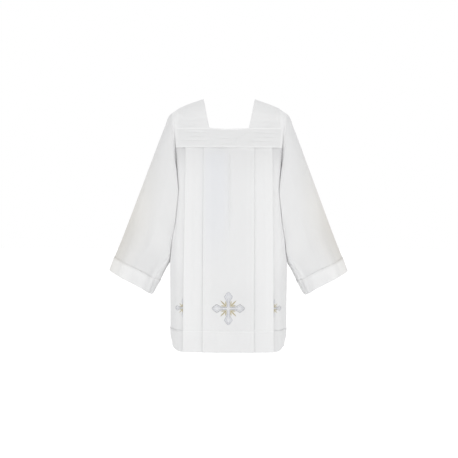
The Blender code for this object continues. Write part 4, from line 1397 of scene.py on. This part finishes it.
def thread_material(name, colour, roughness, specular, variation):
    """Twisted thread, with a slightly different tone from stitch to stitch."""
    material, make, shader = new_material(name)
    twist = make.noise(make.add("ShaderNodeTexCoord").outputs["Object"], TWIST_SCALE)
    dark = tuple(channel * (1 - variation) for channel in colour)
    light = tuple(min(1.0, channel * (1 + variation)) for channel in colour)
    make.feed(shader, {
        "Base Color": make.mixed(twist, dark, light),
        "Normal": make.bump(twist, *TWIST_BUMP),
        "Roughness": roughness,
        "Specular IOR Level": specular,
    })
    return material


# --- Stitches by Geometry Nodes ------------------------------------------------------------------
def node_tree(name, numbers):
    """A geometry tree with a Geometry, the named number inputs and a Material input, the maker
    of its nodes, and what its inputs give."""
    tree = bpy.data.node_groups.new(name, "GeometryNodeTree")
    kinds = [("Geometry", "Geometry"), *((number, "Float") for number in numbers), ("Material", "Material")]
    for socket, kind in kinds:
        tree.interface.new_socket(socket, in_out="INPUT", socket_type=f"NodeSocket{kind}")
    tree.interface.new_socket("Geometry", in_out="OUTPUT", socket_type="NodeSocketGeometry")
    make = NodeMaker(tree)
    return tree, make, make.add("NodeGroupInput").outputs


def finish_tree(make, given, instances):
    """Ends a tree with its instances as one smooth mesh with its material."""
    real = make.add("GeometryNodeRealizeInstances", {"Geometry": instances}).outputs["Geometry"]
    smooth = make.add("GeometryNodeSetShadeSmooth", {"Geometry": real}).outputs["Geometry"]
    dress = make.add("GeometryNodeSetMaterial", {"Geometry": smooth, "Material": given["Material"]})
    make.add("NodeGroupOutput", {"Geometry": dress.outputs["Geometry"]})


def named_field(make, name, kind="FLOAT_VECTOR"):
    """What the source mesh carries under a name at each point."""
    node = make.add("GeometryNodeInputNamedAttribute", data_type=kind)
    make.feed(node, {"Name": name})
    return next(socket for socket in node.outputs if socket.name == "Attribute" and socket.enabled)


def stitch_instances(make, points, shape, along, length, thickness):
    """One spindle of thread on each point, lying along one direction and facing outward."""
    turn = make.add(
        "FunctionNodeAxesToRotation",
        {"Primary Axis": along, "Secondary Axis": named_field(make, "outward")},
        primary_axis="X", secondary_axis="Z")
    size = make.add("ShaderNodeCombineXYZ", {"X": length, "Y": thickness, "Z": thickness})
    placed = make.add("GeometryNodeInstanceOnPoints", {
        "Points": points,
        "Instance": shape,
        "Rotation": turn.outputs["Rotation"],
        "Scale": size.outputs["Vector"],
    })
    return placed.outputs["Instances"]


def sewn_row_tree():
    """A row of stitches along each edge chain of the mesh that it is given."""
    tree, make, given = node_tree("Sewn row", ("Spacing", "Length", "Thread"))
    curve = make.add("GeometryNodeMeshToCurve", {"Mesh": given["Geometry"]}).outputs["Curve"]
    evened = make.add(
        "GeometryNodeResampleCurve", {"Curve": curve, "Length": given["Spacing"]}, mode="LENGTH")
    tangent = make.add("GeometryNodeInputTangent").outputs["Tangent"]
    bead = make.add("GeometryNodeMeshIcoSphere", {"Radius": 0.5, "Subdivisions": 1}).outputs["Mesh"]
    stitches = stitch_instances(
        make, evened.outputs["Curve"], bead, tangent, given["Length"], given["Thread"])
    finish_tree(make, given, stitches)
    return tree


def laid_thread_tree():
    """One laid thread on each point, along its own direction and with its own length."""
    tree, make, given = node_tree("Laid threads", ("Thread",))
    points = make.add("GeometryNodeMeshToPoints", {"Mesh": given["Geometry"]}).outputs["Points"]
    spindle = make.add("GeometryNodeMeshUVSphere", {"Segments": 6, "Rings": 4, "Radius": 0.5})
    lying = make.add(
        "GeometryNodeTransform",
        {"Geometry": spindle.outputs["Mesh"], "Rotation": (0.0, math.pi / 2, 0.0)})
    threads = stitch_instances(
        make, points, lying.outputs["Geometry"], named_field(make, "along"),
        named_field(make, "reach", "FLOAT"), given["Thread"])
    finish_tree(make, given, threads)
    return tree


def grown(name, source, tree, values):
    """The plain mesh object that a geometry tree makes from a source mesh."""
    carrier = linked(name + "_source", source)
    modifier = carrier.modifiers.new("Stitches", "NODES")
    modifier.node_group = tree
    for item in tree.interface.items_tree:
        if item.in_out == "INPUT" and item.name in values:
            modifier[item.identifier] = values[item.name]
    evaluated = carrier.evaluated_get(bpy.context.evaluated_depsgraph_get())
    mesh = bpy.data.meshes.new_from_object(evaluated)
    mesh.name = name
    carrier.modifiers.remove(modifier)
    bpy.data.objects.remove(carrier)
    return linked(name, mesh)


def line_mesh(name, lines):
    """A mesh of edge chains, one for each line of points, with their outward directions."""
    points, outward = (np.concatenate([line[k] for line in lines]) for k in range(2))
    edges, start = [], 0
    for line, _ in lines:
        edges += [(start + i, start + i + 1) for i in range(len(line) - 1)]
        start += len(line)
    mesh = bpy.data.meshes.new(name)
    mesh.from_pydata(points.tolist(), edges, [])
    store(mesh, "outward", outward, "FLOAT_VECTOR")
    return mesh


# --- The crosses ---------------------------------------------------------------------------------
# Half of one arm's outline, as shares of the cross's half size: how far out, and how far aside.
ArmPoint = namedtuple("ArmPoint", "out aside")
ARM_OUTLINE = [
    ArmPoint(0.10, 0.062),
    ArmPoint(0.30, 0.070),
    ArmPoint(0.44, 0.098),
    ArmPoint(0.56, 0.158),
    ArmPoint(0.66, 0.220),
    ArmPoint(0.74, 0.238),
    ArmPoint(0.79, 0.176),
    ArmPoint(0.87, 0.142),
    ArmPoint(0.94, 0.075),
    ArmPoint(1.00, 0.000),
]
# A vein on either side of each arm's middle line.
ARM_VEIN = [
    ArmPoint(0.34, 0.030),
    ArmPoint(0.55, 0.070),
    ArmPoint(0.70, 0.112),
    ArmPoint(0.80, 0.080),
    ArmPoint(0.92, 0.028),
]
# One spray of gold leaves between two arms: where each leaf starts, its turn from the diagonal
# in degrees, its length and its half width.
Leaf = namedtuple("Leaf", "start aside turn length half_width")
GOLD_LEAVES = [
    Leaf(0.13, 0.00, 0, 0.56, 0.043),
    Leaf(0.20, 0.02, 36, 0.30, 0.036),
    Leaf(0.20, -0.02, -36, 0.30, 0.036),
]
DIAGONAL = 45  # the leaves' turn from the arms
ARM_POINTS = 90
VEIN_POINTS = 50
OUTLINE_WIDTH = 0.0016  # of the satin rows on the large cross
LINE_WIDTH = 0.0014
RIB_WIDTH = 0.0011
VEIN_WIDTH = 0.0008  # on every cross
LINE_REACH = 0.97  # how far out the line along the middle of an arm goes
FILL_START = {"outline": 0.09, "edge": 0.0}  # by the arm's rim, as a share of half the cross
FILL_REACH = 0.95  # and where the fill ends
FILL_STEP = 1.25  # between its threads, as a share of the others' step
FILL_SLANT = 0.25  # how far a thread's inner end lies on along the arm, as a share of its length
FILL_BACK = 0.2  # and how far its outer end lies back, as a share of that
FILL_FOOT = 0.4  # how far its inner end is from the middle, as a share of the middle line's width
SHORTEST_FILL = 0.0008
RIB_SHARES = (0.04, 0.90)  # a leaf's rib starts at a share of half the cross, and ends at one of the leaf
LEAF_SHARES = (0.02, 0.98)  # where its threads start and end along it
LEAF_FULLNESS = (0.75, 0.8)  # powers that bring its widest place nearer its start, and fill its sides
LEAF_LEAN = (0.9, 0.2)  # how far a thread's ends lie on and back, as shares of the leaf's width there
LEAF_LEAST_REACH = 0.0004
LEAF_FOOT = 0.0001  # how far past the rib's middle a thread's inner end lies
THREAD_OVERLAP = 1.12  # how much longer a laid thread is than the gap that it covers
THREAD_STEP = 0.95  # between two laid threads, as a share of their thickness
SIDE_CROSS_SHIFT = 0.001  # how far the side crosses' middles lie inside the outer folded edges
SIDE_CROSS_START = 0.012  # how far inside those edges their threads may start

# How far above the cloth the middle of each kind of thread lies, and the slot of its finish.
ThreadKind = namedtuple("ThreadKind", "lift slot")
THREAD_KINDS = {
    "outline": ThreadKind(0.00030, "silver_thread"),
    "edge": ThreadKind(0.00030, "silver_thread"),
    "fill": ThreadKind(0.00005, "silver_thread"),
    "line": ThreadKind(0.00030, "silver_thread"),
    "gold": ThreadKind(0.00020, "gold_thread"),
}
Thread = namedtuple("Thread", "start end")


def resampled(points, step):
    """Points a step apart along a chain, with their directions."""
    points = np.asarray(points, float)
    along = running_length(np.linalg.norm(np.diff(points, axis=0), axis=1))
    at = np.linspace(0, along[-1], max(2, round(along[-1] / step) + 1))
    placed = np.stack([np.interp(at, along, points[:, k]) for k in range(2)], axis=1)
    return placed, unit(np.gradient(placed, axis=0))


def turned(points, degrees):
    angle = math.radians(degrees)
    c, s = math.cos(angle), math.sin(angle)
    x, y = points[..., 0], points[..., 1]
    return np.stack([x * c - y * s, x * s + y * c], axis=-1)


def aside_at(line, out):
    return smooth_through([p.out for p in line], [p.aside for p in line], out)


def arm_line(line, count, half):
    """A smooth line of points through an arm's points, in metres."""
    outs = np.linspace(line[0].out, line[-1].out, count)
    return np.stack([outs, aside_at(line, outs)], axis=1) * half


def cross_threads(half, step):
    """The laid threads of a cross by kind, on a flat plane and centred on 0."""
    share = half / bpy.context.scene.surplice_embroidery.cross_half
    outline_width, line_width, rib_width = (width * share for width in (OUTLINE_WIDTH, LINE_WIDTH, RIB_WIDTH))
    chain = arm_line(ARM_OUTLINE, ARM_POINTS, half)
    border = np.concatenate([chain, (chain * [1, -1])[::-1][1:]])
    vein = arm_line(ARM_VEIN, VEIN_POINTS, half)
    threads = {kind: [] for kind in THREAD_KINDS}

    def satin(kind, chain, width, turn):
        """Threads laid close together across a line."""
        placed, direction = resampled(chain, step)
        normal = np.stack([-direction[:, 1], direction[:, 0]], axis=1)
        for p, n in zip(placed, normal):
            ends = turned(np.array([p - n * width / 2, p + n * width / 2]), turn)
            threads[kind].append(Thread(*ends))

    def fill_arm(turn, start):
        """Slanting threads on both sides of an arm's middle line."""
        inner = np.arange(start * half, FILL_REACH * half, step * FILL_STEP)
        width = aside_at(ARM_OUTLINE, inner / half) * half - outline_width / 2
        low = line_width * FILL_FOOT
        for place, high in zip(inner, width):
            if high - low < SHORTEST_FILL:
                continue
            slant = FILL_SLANT * (high - low)
            for side in (1, -1):
                ends = np.array([[place + slant, side * low], [place - slant * FILL_BACK, side * high]])
                threads["fill"].append(Thread(*turned(ends, turn)))

    def sew_leaf(leaf, turn):
        """A leaf's rib, and the threads that slant from it to both edges."""
        start, length = np.array([leaf.start * half, leaf.aside * half]), leaf.length * half
        rib = np.array([[RIB_SHARES[0], 0.0], [RIB_SHARES[1] * leaf.length, 0.0]]) * half
        satin("outline", turned(turned(rib, leaf.turn) + start, DIAGONAL), rib_width, turn)
        shares = np.arange(*LEAF_SHARES, step / length)
        near_start, fullness = LEAF_FULLNESS
        width = leaf.half_width * half * np.sin(math.pi * shares ** near_start) ** fullness
        for share, reach in zip(shares, width):
            place = share * leaf.length * half
            for side in (1, -1):
                ends = np.array([
                    [place + LEAF_LEAN[0] * reach, side * max(reach, LEAF_LEAST_REACH)],
                    [place - LEAF_LEAN[1] * reach, -side * LEAF_FOOT],
                ])
                threads["gold"].append(Thread(*turned(turned(ends, leaf.turn) + start, turn + DIAGONAL)))

    for arm in range(4):
        turn = 90 * arm
        rim = "edge" if arm % 2 else "outline"  # the upright arms' silver outline is drawn lighter, as painted sheen
        satin(rim, border, outline_width, turn)
        satin(rim, vein, VEIN_WIDTH, turn)
        satin(rim, vein * [1, -1], VEIN_WIDTH, turn)
        satin("line", np.array([[0.0, 0.0], [LINE_REACH * half, 0.0]]), line_width, turn)
        fill_arm(turn, FILL_START[rim])
        for leaf in GOLD_LEAVES:
            sew_leaf(leaf, turn)
    return threads


def on_surface(surface, place, drop, columns):
    """The outer point and outward direction at a distance from the middle and a drop."""
    i = int(np.clip(np.searchsorted(surface.drops, drop) - 1, 0, len(surface.drops) - 2))
    t = (drop - surface.drops[i]) / (surface.drops[i + 1] - surface.drops[i])
    found = []
    for row, weight in ((i, 1 - t), (i + 1, t)):
        places = surface.places[row, columns]
        values = np.concatenate([surface.outer_points[row, columns], surface.normals[row, columns]], axis=1)
        found.append(weight * np.array([np.interp(place, places, values[:, k]) for k in range(6)]))
    both = found[0] + found[1]
    return both[:3], unit(both[3:])


def thread_points(surface, threads, middle, drop, columns, lift, keep):
    """Source points for laid threads on the panel, with their directions and lengths."""
    points, along, outward, reach = [], [], [], []
    for thread in threads:
        if not all(keep(middle + flat[0]) for flat in thread):
            continue
        (a, normal_a), (b, normal_b) = (
            on_surface(surface, middle + flat[0], drop - flat[1], columns) for flat in thread)
        normal = unit(normal_a + normal_b)
        points.append((a + b) / 2 + normal * lift)
        along.append(unit(b - a))
        outward.append(normal)
        reach.append(np.linalg.norm(b - a) * THREAD_OVERLAP)
    return points, along, outward, reach


def threads_mesh(name, rows):
    points, along, outward, reach = (np.array(sum((row[k] for row in rows), [])) for k in range(4))
    mesh = bpy.data.meshes.new(name)
    mesh.from_pydata(points.tolist(), [], [])
    store(mesh, "along", along, "FLOAT_VECTOR")
    store(mesh, "outward", outward, "FLOAT_VECTOR")
    store(mesh, "reach", reach)
    return mesh


# --- Settling a piece into the frame -------------------------------------------------------------
FACINGS = (("front", 1), ("back", -1))
SIDES = (("left", 1), ("right", -1))
LEAST_AREA = 0.3  # a cut's area as a share of its width times its length


def settle(piece, slot, node=None):
    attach(piece, BODY)
    if node:
        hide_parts(node)


def declare_cut(piece, surface):
    """States the flat cut: its widest row by its longest column, and its true area."""
    width, length = float(surface.row_lengths().max()), float(surface.column_lengths().max())
    area = min(max(surface.area(), LEAST_AREA * width * length), width * length)
    print(f"cut {piece.name}: {width:.3f} x {length:.3f} m, {surface.area():.4f} m2")


def make_cloth(kind, surface_at, places, slot, brightness=1.0, node=""):
    """Makes a pair of cloth pieces, each named for its place, as is its node."""
    material = cloth_material(f"{kind}_cloth", brightness)
    for name, place in places:
        surface = surface_at(place)
        piece = cloth_mesh(f"{kind}_{name}_cloth", surface, material)
        settle(piece, slot, f"{node or kind}_{name}")
        declare_cut(piece, surface)
    return {"FINISHED"}


# --- Operators -----------------------------------------------------------------------------------
class SurpliceBands(bpy.types.Operator):
    """Make the doubled bands across the chest and the back"""

    bl_idname = "surplice.bands"
    bl_label = "Bands"

    def execute(self, context):
        return make_cloth(
            "band", band_surface, FACINGS, "doubled_cloth", brightness=BAND_SHADED_BRIGHTNESS,
            node="chest_band")


class SurpliceShoulders(bpy.types.Operator):
    """Make the two pieces over the shoulders"""

    bl_idname = "surplice.shoulders"
    bl_label = "Shoulders"

    def execute(self, context):
        return make_cloth("shoulder", shoulder_surface, SIDES, "white_cloth")


class SurplicePanels(bpy.types.Operator):
    """Make the pleated front and back panels"""

    bl_idname = "surplice.panels"
    bl_label = "Pleated panels"

    def execute(self, context):
        return make_cloth("panel", panel_surface, FACINGS, "white_cloth")


class SurpliceHems(bpy.types.Operator):
    """Make the deep hems below the panels"""

    bl_idname = "surplice.hems"
    bl_label = "Hems"

    def execute(self, context):
        return make_cloth("hem", hem_surface, FACINGS, "doubled_cloth")


class SurpliceSleeves(bpy.types.Operator):
    """Make the wide sleeves"""

    bl_idname = "surplice.sleeves"
    bl_label = "Sleeves"

    def execute(self, context):
        return make_cloth(
            "sleeve", sleeve_surface, SIDES, "white_cloth", brightness=SLEEVE_SHADED_BRIGHTNESS)


class SurpliceCuffs(bpy.types.Operator):
    """Make the deep cuffs"""

    bl_idname = "surplice.cuffs"
    bl_label = "Cuffs"

    def execute(self, context):
        return make_cloth("cuff", cuff_surface, SIDES, "doubled_cloth")


class SurpliceStitching(bpy.types.Operator):
    """Sew the rows of stitches along the bands, neck, armholes, hems and cuffs"""

    bl_idname = "surplice.stitching"
    bl_label = "Stitching"

    def execute(self, context):
        settings = context.scene.surplice_stitches
        tree = sewn_row_tree()
        material = thread_material("sewing_thread", tuple(settings.colour), 0.6, 0.3, 0.05)
        band_row, hem_row, sleeve_row = (
            round(STITCH_INSET / rows.fine) for rows in (BAND_ROWS, HEM_ROWS, SLEEVE_ROWS))
        bands, hems, sleeves = [], [], []
        for _, facing in FACINGS:
            band = band_surface(facing)
            bands += [band.row_line(band_row), band.row_line(-1 - band_row)]
            hems.append(hem_surface(facing).row_line(hem_row))
        for _, side in SIDES:
            bands.append(shoulder_surface(side).column_line(SHOULDER_STITCH_COLUMN))
            sleeves += [sleeve_surface(side).row_line(sleeve_row), cuff_surface(side).row_line(hem_row)]
        values = {
            "Spacing": settings.spacing,
            "Length": settings.length,
            "Thread": settings.thread,
            "Material": material,
        }
        for place, lines in (("bands", bands), ("hems", hems), ("sleeves", sleeves)):
            name = f"stitching_{place}"
            settle(grown(name, line_mesh(name + "_lines", lines), tree, values), "doubled_cloth")
        return {"FINISHED"}


class SurpliceCrosses(bpy.types.Operator):
    """Embroider the crosses above the front hem"""

    bl_idname = "surplice.crosses"
    bl_label = "Crosses"

    def execute(self, context):
        settings = context.scene.surplice_embroidery
        tree = laid_thread_tree()
        surface = panel_surface(1)
        surface.outer_points = surface.outer()
        drop = HEM_SEAM_DROP - settings.height
        count = surface.grid.shape[1]
        half_count = (count + 1) // 2
        outer_fold = outer_fold_at(drop)
        middle_columns = slice(half_count - MIDDLE_COLUMNS, half_count - 1 + MIDDLE_COLUMNS)
        beyond_pleats = SIDE_COLUMNS + UNDER_COLUMNS
        side_middle, side_start = outer_fold - SIDE_CROSS_SHIFT, outer_fold - SIDE_CROSS_START
        side_half = settings.cross_half * settings.side_share
        places = [
            (0.0, settings.cross_half, middle_columns, lambda place: True),
            (side_middle, side_half, slice(count - beyond_pleats, count), lambda place: place > side_start),
            (-side_middle, side_half, slice(0, beyond_pleats), lambda place: place < -side_start),
        ]
        colours = {
            "outline": tuple(settings.outline_colour),
            "edge": tuple(settings.upright_sheen_colour),
            "fill": tuple(settings.fill_colour),
            "line": tuple(min(1.0, channel * 1.08) for channel in settings.fill_colour),
            "gold": tuple(settings.gold_colour),
        }
        rows = {kind: [] for kind in THREAD_KINDS}
        for middle, half, columns, keep in places:
            made = cross_threads(half, settings.thread * THREAD_STEP)
            for kind, threads in made.items():
                lift = THREAD_KINDS[kind].lift
                rows[kind].append(thread_points(surface, threads, middle, drop, columns, lift, keep))
        for kind, found in rows.items():
            material = thread_material(f"{kind}_thread", colours[kind], 0.42, 0.5, 0.08)
            source = threads_mesh(f"cross_{kind}_points", found)
            piece = grown(f"cross_{kind}", source, tree, {"Thread": settings.thread, "Material": material})
            settle(piece, THREAD_KINDS[kind].slot)
        return {"FINISHED"}


FLOOR_RADIUS = 40.0
FLOOR_POINTS = 96
FLOOR_COLOUR = (0.9, 0.9, 0.9, 1.0)
FLOOR_GLOW = 0.37
SKY_COLOUR = (0.995, 0.997, 1.0, 1.0)
KEY_COLOUR = (1.0, 0.995, 0.985)
KEY_SIZE = 2.2
KEY_PLACE = (0.25, -3.5, -0.45)
KEY_TARGET = (0.0, 0.0, -0.55)
HALF_WIDTH_SEEN = 0.8931  # at the garment's middle
CAMERA_ASIDE = 0.0012
CAMERA_DROP = 0.505
CAMERA_ROLL = -0.25  # in degrees


def set_floor(drop):
    bpy.ops.mesh.primitive_circle_add(
        vertices=FLOOR_POINTS, radius=FLOOR_RADIUS, fill_type="NGON", location=(0.0, 0.0, 0.0))
    floor = bpy.context.object
    floor.name = "floor"
    for vertex in floor.data.vertices:
        vertex.co.z = -drop
    material, make, shader = new_material("pale_floor")
    make.feed(shader, {
        "Base Color": FLOOR_COLOUR,
        "Roughness": 0.9,
        "Emission Color": WHITE,
        "Emission Strength": FLOOR_GLOW,
    })
    floor.data.materials.append(material)


def set_world(ambient, overhead):
    """White where the camera looks, and soft light from all round, most of it from above."""
    world = bpy.data.worlds.new("studio")
    bpy.context.scene.world = world
    world.use_nodes = True
    world.node_tree.nodes.clear()
    make = NodeMaker(world.node_tree)
    way = make.add("ShaderNodeTexCoord").outputs["Generated"]
    height = make.add("ShaderNodeSeparateXYZ", {0: way}).outputs["Z"]
    strength = make.maths("MULTIPLY_ADD", height, ambient * overhead, ambient)
    light = make.add("ShaderNodeBackground", {"Color": SKY_COLOUR, "Strength": strength})
    seen = make.add("ShaderNodeBackground", {"Color": WHITE})
    ray = make.add("ShaderNodeLightPath").outputs["Is Camera Ray"]
    mix = make.add("ShaderNodeMixShader", {0: ray, 1: light.outputs[0], 2: seen.outputs[0]})
    make.add("ShaderNodeOutputWorld", {"Surface": mix.outputs[0]})


def set_key_light(power):
    data = bpy.data.lights.new("key", "AREA")
    data.shape = "DISK"
    data.size = KEY_SIZE
    data.energy = power
    data.color = KEY_COLOUR
    key = linked("key", data)
    key.location = KEY_PLACE
    key.rotation_euler = (Vector(KEY_TARGET) - key.location).to_track_quat("-Z", "Y").to_euler()


def set_camera(distance):
    data = bpy.data.cameras.new("camera")
    data.sensor_fit = "HORIZONTAL"
    data.angle = 2 * math.atan(HALF_WIDTH_SEEN / distance)
    camera = linked("camera", data)
    camera.location = (CAMERA_ASIDE, -distance, -CAMERA_DROP)
    camera.rotation_euler = (math.radians(90), math.radians(CAMERA_ROLL), 0.0)
    bpy.context.scene.camera = camera


class SurpliceStage(bpy.types.Operator):
    """Set the floor, the light and the camera"""

    bl_idname = "surplice.stage"
    bl_label = "Stage"

    def execute(self, context):
        settings = context.scene.surplice_stage
        context.scene.view_settings.view_transform = "Standard"
        set_floor(settings.floor_drop)
        set_world(settings.ambient, settings.overhead)
        set_key_light(settings.key)
        set_camera(settings.camera_distance)
        return {"FINISHED"}


OPERATORS = (
    SurpliceBands, SurpliceShoulders, SurplicePanels, SurpliceHems, SurpliceSleeves,
    SurpliceCuffs, SurpliceStitching, SurpliceCrosses, SurpliceStage,
)
SETTINGS = {
    "surplice_cloth": SurpliceClothSettings,
    "surplice_pleats": SurplicePleatSettings,
    "surplice_stitches": SurpliceStitchSettings,
    "surplice_embroidery": SurpliceEmbroiderySettings,
    "surplice_stage": SurpliceStageSettings,
}


class SurplicePanel(bpy.types.Panel):
    """Lists the pieces and their settings"""

    bl_idname = "VIEW3D_PT_surplice"
    bl_label = "Surplice"
    bl_space_type = "VIEW_3D"
    bl_region_type = "UI"
    bl_category = "Surplice"

    def draw(self, context):
        for name, group in SETTINGS.items():
            box = self.layout.box()
            box.label(text=group.__doc__)
            for key in group.__annotations__:
                box.prop(getattr(context.scene, name), key)
        for operator in OPERATORS:
            self.layout.operator(operator.bl_idname)


def register():
    for made in (*SETTINGS.values(), *OPERATORS, SurplicePanel):
        bpy.utils.register_class(made)
    for name, group in SETTINGS.items():
        setattr(bpy.types.Scene, name, PointerProperty(type=group))


def unregister():
    for name in SETTINGS:
        delattr(bpy.types.Scene, name)
    for made in (SurplicePanel, *OPERATORS, *SETTINGS.values()):
        bpy.utils.unregister_class(made)


def main():
    register()
    bpy.ops.surplice.bands()
    bpy.ops.surplice.shoulders()
    bpy.ops.surplice.panels()
    bpy.ops.surplice.hems()
    bpy.ops.surplice.sleeves()
    bpy.ops.surplice.cuffs()
    bpy.ops.surplice.stitching()
    bpy.ops.surplice.crosses()
    bpy.ops.surplice.stage()


if __name__ == "__main__":
    main()
